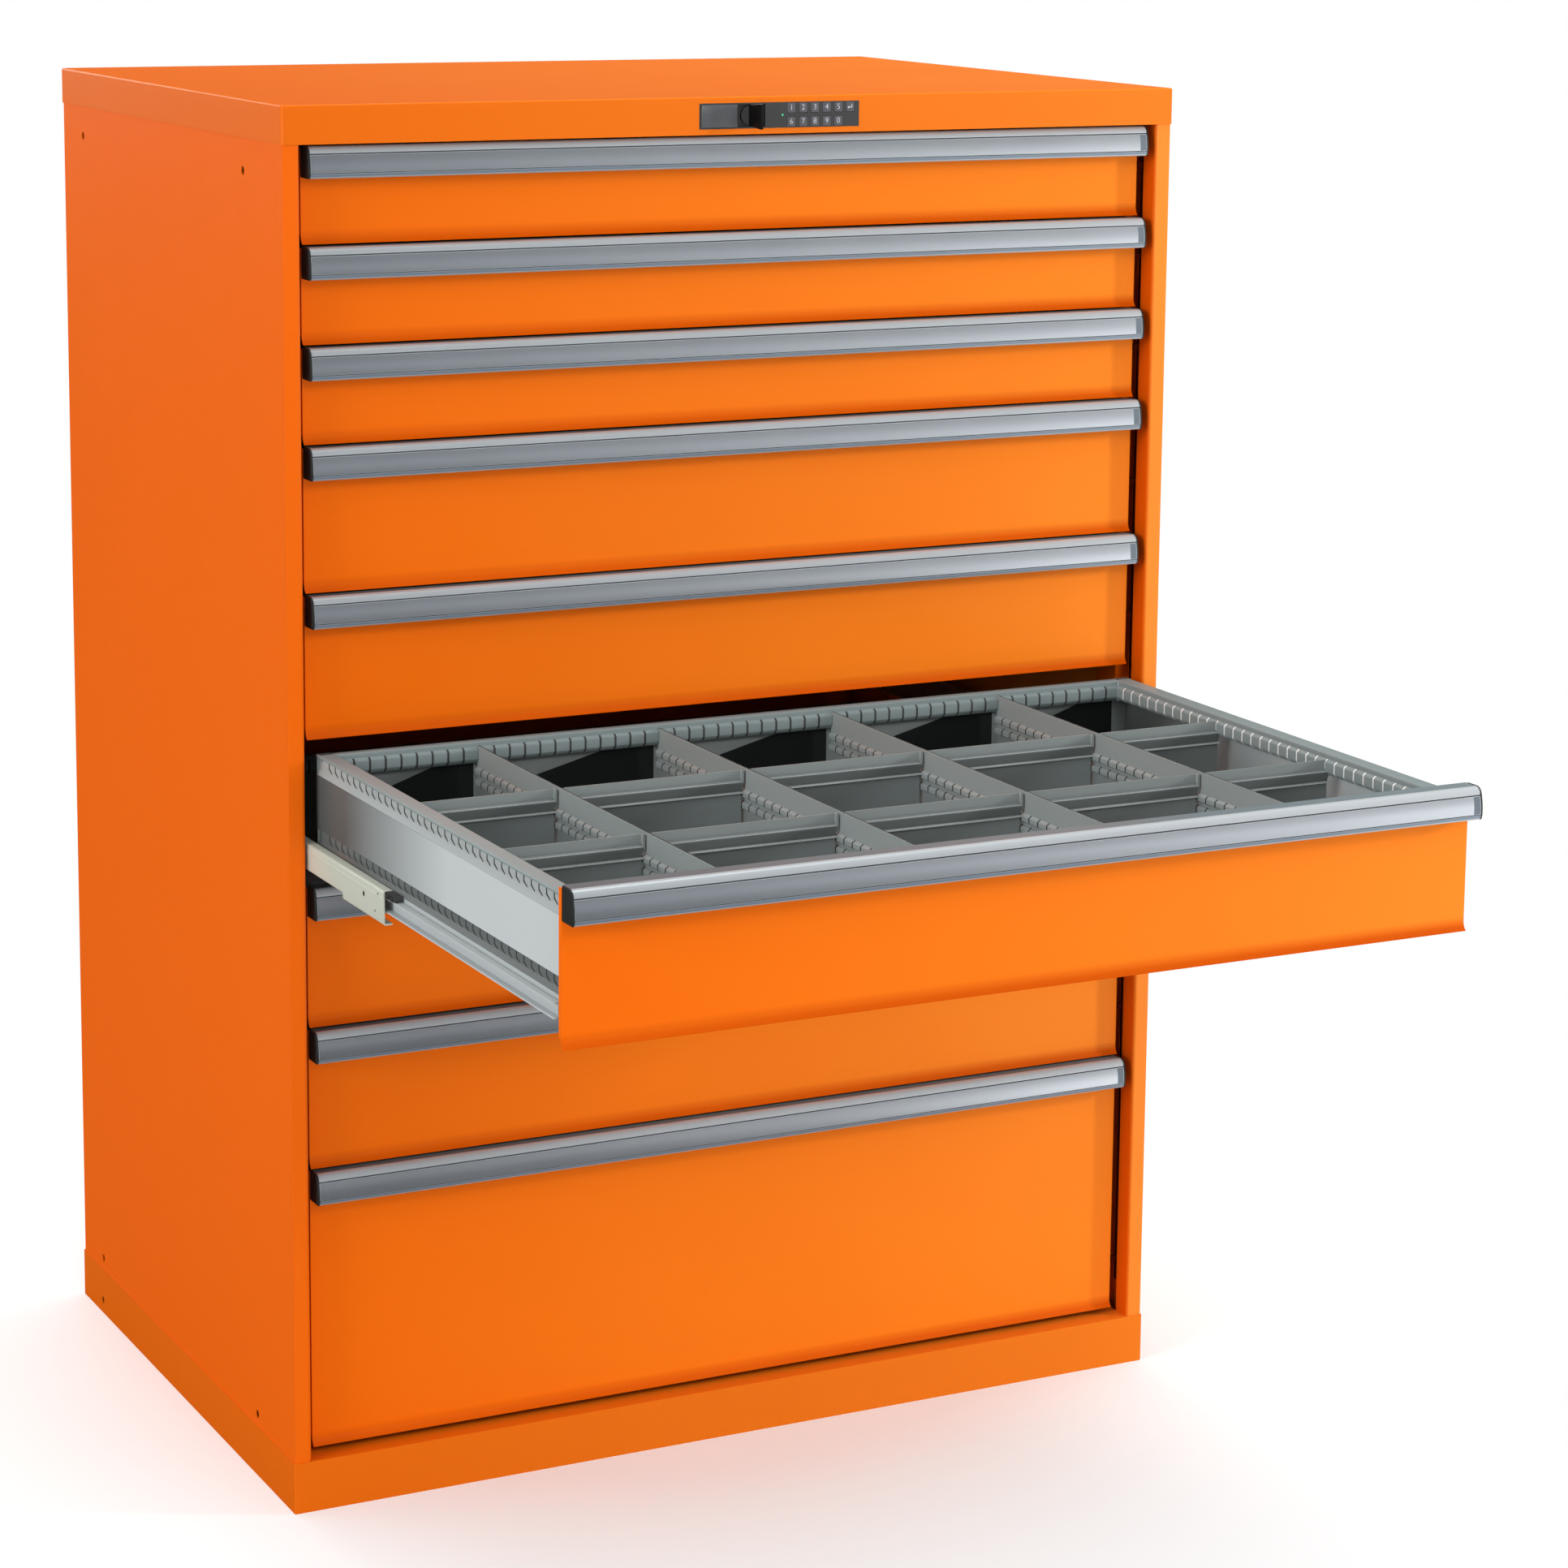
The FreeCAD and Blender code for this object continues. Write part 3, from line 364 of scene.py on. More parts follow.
@dataclass(frozen=True)
class MouldedPlastic:
    """Plastic with a fine moulded grain, its scales in waves per metre and its depth in metres."""

    name: str
    colour: Colour
    roughness: float
    sheen: float = 0.25
    grain_scale: float = 1400.0
    cloud_scale: float = 60.0
    depth: float = 0.00001

    def material(self) -> bpy.types.Material:
        """Build the plastic."""
        material, graph = new_material(self.name)
        grain = graph.noise((self.grain_scale,) * 3, 2.0)
        cloud = graph.noise((self.cloud_scale,) * 3, 2.0)
        lighter = tuple(min(1.0, channel * 1.3 + 0.002) for channel in self.colour)
        graph.surface(graph.node("ShaderNodeBsdfPrincipled", {}, {
            "Base Color": graph.mixed(cloud, self.colour, lighter),
            "Roughness": grain * 0.1 + (self.roughness - 0.05),
            "Specular IOR Level": self.sheen,
            "Normal": graph.bumped(grain, self.depth)}))
        return material


@dataclass(frozen=True)
class Glow:
    """A small status light behind a tinted lens."""

    name: str
    colour: Colour
    strength: float = 0.9
    roughness: float = 0.2
    spot_scale: float = 700.0

    def material(self) -> bpy.types.Material:
        """Build the lens."""
        material, graph = new_material(self.name)
        spot = graph.noise((self.spot_scale,) * 3, 1.0)
        graph.surface(graph.node("ShaderNodeBsdfPrincipled", {}, {
            "Base Color": graph.mixed(spot, self.colour, dimmed(self.colour, 0.7)),
            "Roughness": self.roughness,
            "Emission Color": (*self.colour, 1.0),
            "Emission Strength": self.strength}))
        return material


def new_material(name: str) -> tuple[bpy.types.Material, Graph]:
    """Make an empty node material.

    Args:
        name: the material's name.

    Returns:
        The material and its graph.
    """
    material = bpy.data.materials.new(name)
    material.use_nodes = True
    return material, Graph(material.node_tree)


class Finish(Enum):
    """Every finish on the cabinet."""

    SIDE = plain_skin("orange_side", (0.81, 0.128, 0.002), 0.45, 0.12, 0.05)
    # Painted light: the cover, plinth and floor pan brighten from left to right.
    SHELL = Skin("orange_shell_painted_light", (0.74, 0.135, 0.003), (0.86, 0.2, 0.014), 0.4, 0.12, 0.05)
    SHALLOW_FRONT = front_skin("orange_shallow_front", 0.011, 0.1)
    MEDIUM_FRONT = front_skin("orange_medium_front", 0.061, 0.15)
    DEEP_FRONT = front_skin("orange_deep_front", 0.061, 0.3)
    # A lighter copy of the orange for the right side panel: painted light on its faces, and painted shade on
    # the inner face of its post.
    POST = Skin("orange_post_painted_light_and_shade", (0.66, 0.09, 0.001), (0.97, 0.26, 0.03), 0.4, 0.1, 0.05,
                drift=Drift(Axis.X, 0.4923, 0.4950))
    TRAY = plain_skin("tray_grey", (0.45, 0.485, 0.49), 0.36, 0.0, 0.15)
    # The left wall's outer sheet darkens towards the rear of each drawer: painted shade.
    WALL = Skin("wall_painted_shade", (0.50, 0.54, 0.545), (0.075, 0.085, 0.082), 0.36, 0.0, 0.15,
                drift=Drift(Axis.Y, -0.70, -0.43, -0.985, 0.64))
    # A darker, bluish copy of the tray grey for the flange, the rolled plates and the rear rim: painted shade
    # that offsets the light from above and the orange bounce.
    RIM = plain_skin("rim_painted_shade", (0.22, 0.265, 0.265), 0.36, 0.0, 0.1)
    BAND = plain_skin("band_grey", (0.36, 0.395, 0.39), 0.4, 0.0, 0.2)
    # A dark copy of the tray grey for the lower band and the dividers' slanted band: painted shade.
    SHADE = plain_skin("band_painted_shade", (0.13, 0.148, 0.145), 0.4, 0.2, 0.3)
    REAR = plain_skin("rear_wall_grey", (0.2, 0.225, 0.22), 0.4, 0.0, 0.1)
    # Near-black plates on the rear walls of the open drawer's compartments: a painted shadow.
    DEEP = plain_skin("rear_wall_painted_shadow", (0.012, 0.014, 0.014), 0.4, 0.0, 0.1)
    INNER = plain_skin("partition_grey", (0.27, 0.305, 0.3), 0.34, 0.1, 0.2)
    # The lower walls of partitions and dividers are darker towards the left of each compartment: painted
    # shade.
    WELL = Skin("well_painted_shade", (0.06, 0.07, 0.068), (0.24, 0.27, 0.265), 0.3, 0.2, 0.3,
                drift=Drift(Axis.X, -0.51, -0.306, -0.51, 0.204))
    # Light lines along partition tops and divider ledges: painted highlights.
    LEDGE = plain_skin("ledge_painted_highlight", (0.45, 0.48, 0.47), 0.3, 0.0, 0.2)
    # Bright plates in the slits of the right wall: painted light seen through them.
    EDGE = plain_skin("slit_painted_light", (0.75, 0.78, 0.77), 0.3, 0.2, 0.3)
    RAIL = plain_skin("rail_cream", (0.50, 0.53, 0.45), 0.36, 0.1, 0.2)
    # The handle skins brighten from left to right as a painted reflection; the flat top is a dark copy in
    # painted shade, and the bead a darker copy as a painted reflection.
    GRIP = grip_skin("grip_aluminium", (0.36, 0.39, 0.41), (0.5, 0.53, 0.55), 0.3, 0.3, 0.2)
    FLAT = grip_skin("grip_flat_painted_shade", (0.10, 0.13, 0.145), (0.2, 0.245, 0.26), 0.4, 0.1, 0.1)
    STRIP = grip_skin("label_strip", (0.27, 0.30, 0.33), (0.56, 0.6, 0.64), 0.24, 0.3, 0.6)
    GROOVE = grip_skin("grip_groove", (0.12, 0.15, 0.18), (0.16, 0.19, 0.22), 0.4, 0.2, 0.3)
    BEAD = grip_skin("grip_bead_painted_reflection", (0.16, 0.2, 0.25), (0.22, 0.27, 0.33), 0.35, 0.2, 0.2)
    LINE = MouldedPlastic("grip_line", (0.03, 0.035, 0.04), 0.5)
    ZINC = PlatedSteel("zinc_plate", (0.62, 0.62, 0.6), 0.4)
    BLACK = MouldedPlastic("black_plastic", (0.007, 0.008, 0.009), 0.4, 0.08)
    # Dark red for the lug and the locking bar in the gap beside the fronts: painted shade.
    LUG = MouldedPlastic("lug_painted_shade", (0.05, 0.004, 0.001), 0.6, 0.0)
    BLADE = MouldedPlastic("blade_plastic", (0.003, 0.003, 0.003), 0.5, 0.1)
    CAP = MouldedPlastic("cap_plastic", (0.02, 0.022, 0.021), 0.35)
    STOP = MouldedPlastic("stop_plastic", (0.035, 0.11, 0.24), 0.4)
    KEY = MouldedPlastic("key_plastic", (0.028, 0.031, 0.035), 0.35, 0.15)
    PLATE = MouldedPlastic("plate_grey", (0.075, 0.08, 0.085), 0.3)
    INK = MouldedPlastic("legend_ink", (0.62, 0.64, 0.66), 0.5)
    LED = Glow("status_green", (0.03, 0.55, 0.22))

    def made(self) -> bpy.types.Material:
        """The finish's material, built the first time it is asked for."""
        found = bpy.data.materials.get(self.value.name)
        return found or self.value.material()


# Meshes


class Shape:
    """A mesh under construction, in millimetres, with one finish for each face."""

    def __init__(self) -> None:
        """Start empty."""
        self.points: list[Point3] = []
        self.faces: list[tuple[int, ...]] = []
        self.finishes: list[Finish] = []

    def sweep(self, profile: Sequence[Point2], axis: Axis, start: float, end: float,
              finish: Finish) -> "Shape":
        """Add a closed profile swept along an axis, with both ends closed.

        Args:
            profile: corners of the outline; (y, z), (x, z) or (x, y) for X, Y and Z.
            axis: the axis of the sweep.
            start: where the sweep starts.
            end: where it ends.
            finish: what the faces are finished with.

        Returns:
            The shape itself.
        """
        base = len(self.points)
        count = len(profile)
        for level in (start, end):
            for a, b in profile:
                self.points.append({
                    Axis.X: (level, a, b), Axis.Y: (a, level, b), Axis.Z: (a, b, level)}[axis])
        area = sum(
            profile[i][0] * profile[(i + 1) % count][1] - profile[(i + 1) % count][0] * profile[i][1]
            for i in range(count))
        forward = (area > 0) != (axis is Axis.Y)
        if end < start:
            forward = not forward
        walls = [
            (base + i, base + (i + 1) % count, base + count + (i + 1) % count, base + count + i)
            for i in range(count)]
        near = tuple(base + i for i in reversed(range(count)))
        far = tuple(base + count + i for i in range(count))
        for face in [*walls, near, far]:
            self.faces.append(face if forward else tuple(reversed(face)))
            self.finishes.append(finish)
        return self

    def box(self, low: Point3, high: Point3, finish: Finish) -> "Shape":
        """Add a box between two corners."""
        outline = [(low[0], low[1]), (high[0], low[1]), (high[0], high[1]), (low[0], high[1])]
        return self.sweep(outline, Axis.Z, low[2], high[2], finish)

    def add(self, other: "Shape", offset: Point3 = (0.0, 0.0, 0.0)) -> "Shape":
        """Add a copy of another shape, moved by an offset."""
        base = len(self.points)
        self.points += [tuple(p + o for p, o in zip(point, offset)) for point in other.points]
        self.faces += [tuple(base + index for index in face) for face in other.faces]
        self.finishes += other.finishes
        return self

    def mirrored(self) -> "Shape":
        """The shape's mirror image about x = 0."""
        other = Shape()
        other.points = [(-x, y, z) for x, y, z in self.points]
        other.faces = [tuple(reversed(face)) for face in self.faces]
        other.finishes = list(self.finishes)
        return other

    def mesh(self, name: str) -> bpy.types.Mesh:
        """The shape as a mesh in metres."""
        mesh = bpy.data.meshes.new(name)
        mesh.from_pydata([tuple(c * MM for c in point) for point in self.points], [], self.faces)
        order = list(dict.fromkeys(self.finishes))
        for finish in order:
            mesh.materials.append(finish.made())
        mesh.polygons.foreach_set("material_index", [order.index(finish) for finish in self.finishes])
        mesh.update()
        return mesh


def new_object(name: str, mesh: bpy.types.Mesh) -> bpy.types.Object:
    """Link a mesh to the scene as an object at the origin."""
    piece = bpy.data.objects.new(name, mesh)
    bpy.context.scene.collection.objects.link(piece)
    return piece


def circle(across: float, up: float, radius: float, sides: int) -> list[Point2]:
    """The corners of a circle about a middle."""
    turns = (2 * math.pi * i / sides for i in range(sides))
    return [(across + radius * math.cos(turn), up + radius * math.sin(turn)) for turn in turns]


def shrunk(outline: Sequence[Point2], middle: Point2, across: float, up: float) -> list[Point2]:
    """An outline drawn in towards a middle, by a share across and a share up."""
    return [(middle[0] + (a - middle[0]) * across, middle[1] + (b - middle[1]) * up) for a, b in outline]


def rounded(corners: Sequence[Point2], radius: float, steps: int = 4,
            closed: bool = False) -> list[Point2]:
    """Round the corners of a path.

    Args:
        corners: the path's corners.
        radius: the radius of each bend, made smaller where a leg is short.
        steps: how many short lines make a bend.
        closed: whether the last corner joins the first.

    Returns:
        The path's points.
    """
    count = len(corners)
    result: list[Point2] = []
    for index in range(count):
        here = Vector(corners[index])
        if not closed and index in (0, count - 1):
            result.append(tuple(here))
            continue
        back = Vector(corners[index - 1]) - here
        ahead = Vector(corners[(index + 1) % count]) - here
        angle = back.angle(ahead)
        if angle > math.radians(179):
            result.append(tuple(here))
            continue
        reach = min(radius / math.tan(angle / 2), back.length * 0.49, ahead.length * 0.49)
        bend = reach * math.tan(angle / 2)
        centre = here + (back.normalized() + ahead.normalized()).normalized() * (bend / math.sin(angle / 2))
        first = here + back.normalized() * reach - centre
        last = here + ahead.normalized() * reach - centre
        turn = math.atan2(first.x * last.y - first.y * last.x, first.dot(last))
        for step in range(steps + 1):
            result.append(tuple(centre + Matrix.Rotation(turn * step / steps, 2) @ first))
    return result


def round_rectangle(low: Point2, high: Point2, radius: float, steps: int) -> list[Point2]:
    """The outline of a rectangle with rounded corners."""
    return rounded([low, (high[0], low[1]), high, (low[0], high[1])], radius, steps, True)


def folded(corners: Sequence[Point2], gauge: float, radius: float, steps: int = 4) -> list[Point2]:
    """The closed outline of a folded sheet.

    Args:
        corners: the corners of the sheet's middle line.
        gauge: the sheet's thickness.
        radius: the radius of the middle line at each bend.
        steps: how many short lines make a bend.

    Returns:
        The outline's points.
    """
    path = [Vector(point) for point in rounded(corners, radius, steps)]
    sides: tuple[list[Point2], list[Point2]] = ([], [])
    for index, point in enumerate(path):
        before = path[max(index - 1, 0)]
        after = path[min(index + 1, len(path) - 1)]
        run_in = (point - before).normalized() if index else (after - point).normalized()
        run_out = (after - point).normalized() if index < len(path) - 1 else run_in
        normal = Vector((-(run_in + run_out).y, (run_in + run_out).x)).normalized()
        stretch = 1 / max(normal.dot(Vector((-run_in.y, run_in.x))), 0.5)
        shift = normal * gauge / 2 * stretch
        sides[0].append(tuple(point + shift))
        sides[1].append(tuple(point - shift))
    return sides[0] + sides[1][::-1]


def bevel_edges(piece: bpy.types.Object, width: float) -> None:
    """Round a piece's sharp edges, by a width in millimetres."""
    bevel = piece.modifiers.new("edge_radius", "BEVEL")
    bevel.width = width * MM
    bevel.segments = 2
    bevel.limit_method = "ANGLE"
    bevel.angle_limit = BEVEL_ANGLE
    bevel.harden_normals = False
    apply_modifiers(piece)


def apply_modifiers(piece: bpy.types.Object) -> None:
    """Replace a piece's mesh with what its modifiers make of it."""
    bpy.context.view_layer.update()
    graph = bpy.context.evaluated_depsgraph_get()
    mesh = bpy.data.meshes.new_from_object(piece.evaluated_get(graph), depsgraph=graph)
    piece.modifiers.clear()
    piece.data = mesh


def smooth(piece: bpy.types.Object) -> None:
    """Shade smooth, with sharp edges kept crisp."""
    mesh = piece.data
    edges = bmesh.new()
    edges.from_mesh(mesh)
    for face in edges.faces:
        face.smooth = True
    for edge in edges.edges:
        edge.smooth = len(edge.link_faces) == 2 and edge.calc_face_angle(0.0) < CRISP_ANGLE
    edges.to_mesh(mesh)
    edges.free()


class Repeater:
    """Geometry nodes that repeat a shape in a row."""

    def __init__(self) -> None:
        """Build the tree with its named inputs."""
        tree = bpy.data.node_groups.new("row_of_shapes", "GeometryNodeTree")
        face = tree.interface
        face.new_socket("Geometry", in_out="INPUT", socket_type="NodeSocketGeometry")
        sockets = [
            face.new_socket("Count", in_out="INPUT", socket_type="NodeSocketInt"),
            face.new_socket("Pitch", in_out="INPUT", socket_type="NodeSocketVector"),
            face.new_socket("Finish", in_out="INPUT", socket_type="NodeSocketMaterial"),
        ]
        face.new_socket("Geometry", in_out="OUTPUT", socket_type="NodeSocketGeometry")
        self.identifiers = [socket.identifier for socket in sockets]
        entry = tree.nodes.new("NodeGroupInput")
        leave = tree.nodes.new("NodeGroupOutput")
        row = tree.nodes.new("GeometryNodeMeshLine")
        copies = tree.nodes.new("GeometryNodeInstanceOnPoints")
        solid = tree.nodes.new("GeometryNodeRealizeInstances")
        paint = tree.nodes.new("GeometryNodeSetMaterial")
        link = tree.links.new
        link(entry.outputs["Count"], row.inputs["Count"])
        link(entry.outputs["Pitch"], row.inputs["Offset"])
        link(row.outputs["Mesh"], copies.inputs["Points"])
        link(entry.outputs["Geometry"], copies.inputs["Instance"])
        link(copies.outputs["Instances"], solid.inputs["Geometry"])
        link(solid.outputs["Geometry"], paint.inputs["Geometry"])
        link(entry.outputs["Finish"], paint.inputs["Material"])
        link(paint.outputs["Geometry"], leave.inputs[0])
        self.tree = tree

    def repeat(self, shape: Shape, count: int, pitch: Point3, finish: Finish) -> Shape:
        """Repeat a shape in a row.

        Args:
            shape: the first one, where it belongs.
            count: how many there are.
            pitch: the step from one to the next, in millimetres.
            finish: the finish of them all.

        Returns:
            The whole row as one shape.
        """
        piece = new_object("row_seed", shape.mesh("row_seed"))
        modifier = piece.modifiers.new("row", "NODES")
        modifier.node_group = self.tree
        values = (count, tuple(step * MM for step in pitch), finish.made())
        for identifier, value in zip(self.identifiers, values):
            modifier[identifier] = value
        apply_modifiers(piece)
        result = Shape()
        result.points = [tuple(c / MM for c in vertex.co) for vertex in piece.data.vertices]
        result.faces = [tuple(polygon.vertices) for polygon in piece.data.polygons]
        result.finishes = [finish] * len(result.faces)
        bpy.data.objects.remove(piece)
        return result


def finish_piece(name: str, shape: Shape, body: str, nodes: Iterable[str] = (),
                 edge: float = 0.0) -> None:
    """Turn a shape into a piece of the object.

    Args:
        name: the piece's name.
        shape: its shape in millimetres.
        body: the body that it rides on.
        nodes: the nodes that it stands for.
        edge: how far its edges are rounded, in millimetres.
    """
    piece = new_object(name, shape.mesh(name))
    if edge:
        bevel_edges(piece, edge)
    smooth(piece)
    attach(piece, body)
    if nodes:
        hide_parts(*nodes)
    LOG.info("%s: %d faces on %s", name, len(piece.data.polygons), body)


def dress(frame: dict, node: str, finish: Finish) -> None:
    """Give a carried-over node its finish."""
    mesh = frame["nodes"][node].data
    mesh.materials.clear()
    mesh.materials.append(finish.made())
    LOG.info("%s: dressed in %s", node, finish.value.name)


# Sub-assemblies


@dataclass
class Carcass:
    """The welded shell: sides with their posts, cover, plinth, floor, back and rails."""

    frame: dict

    def build(self) -> None:
        """Dress the nodes of the shell."""
        for finish, nodes in {
            Finish.SIDE: ("side_panel_left", "back_panel", "uprights"),
            # The right side panel, the shell and the locking bar get finishes with painted light and shade.
            Finish.POST: ("side_panel_right",),
            Finish.SHELL: ("top_cover", "base_plinth", "floor_pan"),
            Finish.ZINC: ("fixed_rails",),
            Finish.LUG: ("locking_bar",),
        }.items():
            for node in nodes:
                dress(self.frame, node, finish)


@dataclass
class Cells:
    """Where each drawer sits."""

    top: float = 1411.0
    face: float = -337.5
    travel: float = 640.0

    def floor(self, number: int) -> float:
        """Height of the bottom of a drawer's cell."""
        return self.top - sum(kind.value for kind in STACK[:number])

    def out(self, number: int) -> float:
        """How far a drawer stands out in the rest pose."""
        return self.travel if number == OPEN_DRAWER else 0.0

    def place(self, number: int) -> Point3:
        """Offset from a drawer's own frame to the row frame."""
        return (0.0, self.face - self.out(number), self.floor(number))

    def rail_place(self, number: int) -> Point3:
        """Offset of a drawer's middle rails."""
        return (0.0, self.face - self.out(number) / 2, self.floor(number))


@dataclass
class Tray:
    """Folded tray with slotted bands, seen in the drawer's own frame."""

    repeater: Repeater
    half: float = 477.0
    inner: float = 459.0
    gauge: float = 1.2
    low: float = 25.0
    front: float = 1.2
    depth: float = 612.0
    rear_wall: float = 11.5
    rim_drop: float = 13.0
    module: float = 17.0
    slit: float = 2.4
    hook: float = 7.0
    hook_drop: float = 4.0
    hook_heel: float = 1.4
    hook_tip: float = 1.7
    inlay_proud: float = 0.08
    inlay_depth: float = 0.3
    roll_reach: float = 3.4
    roll_tail: float = 3.0
    roll_levels: tuple[float, ...] = (5.0, 7.5, 17.0, 20.5, 21.0)
    rear_band: float = 24.0
    recess: float = 3.2
    upper_band: float = 20.0
    lower_band_top: float = 61.0
    lower_band_foot: float = 44.0
    rail_top: float = 40.0
    rail_reach: float = 8.5
    rail_gauge: float = 1.5
    rail_start: float = 12.0
    lug: tuple[Point3, Point3] = ((477.0, 13.0, 58.0), (489.0, 16.0, 68.0))

    def rim(self, kind: Kind) -> float:
        """Height of the top of the walls."""
        return kind.value - self.rim_drop

    def row(self, path: Sequence[Point2], axis: Axis, start: float, count: int, slit: Finish) -> Shape:
        """A row of rolled plates with a slit between each two.

        Args:
            path: corners of a plate's middle line.
            axis: the direction of the row.
            start: where the first module starts.
            count: how many modules there are.
            slit: the finish of the thin plates in the slits: painted shade on the left wall and the rear,
                painted light on the right wall.

        Returns:
            The row.
        """
        plate = (start + self.slit / 2, start + self.module - self.slit / 2)
        gap = (plate[1], plate[1] + self.slit)
        step = (self.module, 0.0, 0.0) if axis is Axis.X else (0.0, self.module, 0.0)
        result = Shape()
        for span, gauge, copies, finish in (
            (plate, self.gauge, count, Finish.RIM), (gap, self.gauge - 0.3, count - 1, slit),
        ):
            seed = Shape().sweep(folded(path, gauge, 1.6, 3), axis, *span, finish)
            result.add(self.repeater.repeat(seed, copies, step, finish))
        return result

    def roll(self, lip: float, rim: float, way: float) -> list[Point2]:
        """The middle line of a rolled plate below the rim, which bulges one way from the lip."""
        reaches = (0.0, self.roll_reach, self.roll_reach, 0.0, -self.roll_tail)
        return [(lip + way * reach, rim - level) for reach, level in zip(reaches, self.roll_levels)]

    def hooked_slits(self, across: float, high: float, bend: float, start: float, count: int) -> Shape:
        """A row of hooked slits in the left wall, as thin dark inlays of painted shade.

        Args:
            across: where the sheet's outer face is.
            high: the height of the slits' top end.
            bend: the height where they turn towards the front.
            start: where the first module starts.
            count: how many modules there are.

        Returns:
            The row.
        """
        rear = start + self.module + self.slit / 2
        front = rear - self.slit
        tip = front - self.hook
        outline = [(rear, bend - self.hook_heel), (rear, high), (front, high), (front, bend),
                   (tip, bend - self.hook_drop), (tip, bend - self.hook_drop - self.hook_tip)]
        seed = Shape().sweep(
            outline, Axis.X, across - self.inlay_proud, across + self.inlay_depth, Finish.BLACK)
        return self.repeater.repeat(seed, count - 1, (0.0, self.module, 0.0), Finish.BLACK)

    def side(self, kind: Kind, slit: Finish) -> Shape:
        """The left wall with its bands, flange and rail."""
        skin = self.gauge / 2
        outer = -self.half + skin
        sunk = outer + self.recess
        rim = self.rim(kind) - skin
        lip = -self.inner - skin
        start = self.front + self.gauge
        rear = start + self.depth + self.rear_wall
        band_foot = rim - self.upper_band
        low_top, low_foot = self.lower_band_top, self.lower_band_foot
        count = round(self.depth / self.module)
        shape = Shape()
        # The outer sheet darkens towards the rear as painted shade; the rim and the lower band are in painted
        # shade too.
        for path, finish in (
            ([(outer, low_top), (outer, band_foot)], Finish.WALL),
            ([(sunk, rim - 2), (outer, rim - 2), (outer, rim), (lip, rim), (lip, rim - 5)], Finish.RIM),
            ([(sunk, rim - 2), (sunk, rim - 13.5), (outer, band_foot)], Finish.BAND),
            ([(outer, low_top), (sunk, low_top - 1.5), (sunk, low_foot + 5), (outer, low_foot)],
             Finish.SHADE),
        ):
            shape.sweep(folded(path, self.gauge, 0.9), Axis.Y, self.front, rear, finish)
        for high, bend in ((rim - 2.6, rim - 8.4), (low_top - 1.8, low_foot + 9.6)):
            shape.add(self.hooked_slits(sunk - skin, high, bend, start, count))
        shape.add(self.row(self.roll(lip, rim, 1.0), Axis.Y, start, count, slit))
        reach = -self.half - self.rail_reach
        web = -self.half - self.rail_gauge / 2
        low = self.low + self.rail_gauge / 2
        top = self.rail_top - self.rail_gauge / 2
        shape.sweep(folded([(reach, low), (web, low), (web, top), (reach, top)], self.rail_gauge, 1.6),
                    Axis.Y, self.rail_start, rear, Finish.TRAY)
        return shape

    def build(self, kind: Kind) -> Shape:
        """The whole tray of one height."""
        skin = self.gauge / 2
        outer = self.half - skin
        start = self.front + self.gauge
        rear = start + self.depth + self.rear_wall
        rim = self.rim(kind) - skin
        # The left wall's slits hold painted shade, the right wall's painted light.
        shape = Shape().add(self.side(kind, Finish.BLACK)).add(self.side(kind, Finish.EDGE).mirrored())
        pan = [(-outer, self.lower_band_foot), (-outer, self.low + skin),
               (outer, self.low + skin), (outer, self.lower_band_foot)]
        shape.sweep(folded(pan, self.gauge, 1.6), Axis.Y, self.front, rear, Finish.TRAY)
        shape.box((-outer, self.front, self.low), (outer, start, rim + skin), Finish.TRAY)
        back = start + self.depth
        lip = back + skin
        wall = rear - skin
        foot = rim - self.rear_band
        path = [(lip, rim - self.roll_levels[0]), (lip, rim), (wall, rim), (wall, foot)]
        shape.sweep(folded(path, self.gauge, 1.2), Axis.X, -outer, outer, Finish.RIM)
        shape.box((-outer, wall - skin, self.low), (outer, wall + skin, foot), Finish.REAR)
        count = round(2 * self.inner / self.module)
        # The slits of the rear rolled plates hold painted shade.
        shape.add(self.row(self.roll(lip, rim, -1.0), Axis.X, -self.inner, count, Finish.BLACK))
        for across in (-self.inner, self.inner):
            shape.box((across - 0.4, back - 2.0, rim - 22), (across + 0.4, back, rim), Finish.TRAY)
        # The lug is dark red as painted shade.
        shape.box(*self.lug, Finish.LUG)
        shape.add(self.stops()).add(self.stops().mirrored())
        return shape

    def stops(self) -> Shape:
        """The black stop and the blue one below it, at the front end of the left rail."""
        foot = self.lower_band_foot - 2
        wall = 0.1 - self.half
        shape = Shape().box((-self.half - 3.2, 5.0, foot - 14), (wall, 13.0, foot - 5), Finish.BLACK)
        return shape.box((-self.half - 2.6, 3.0, foot - 19), (wall, 10.0, foot - 15), Finish.STOP)


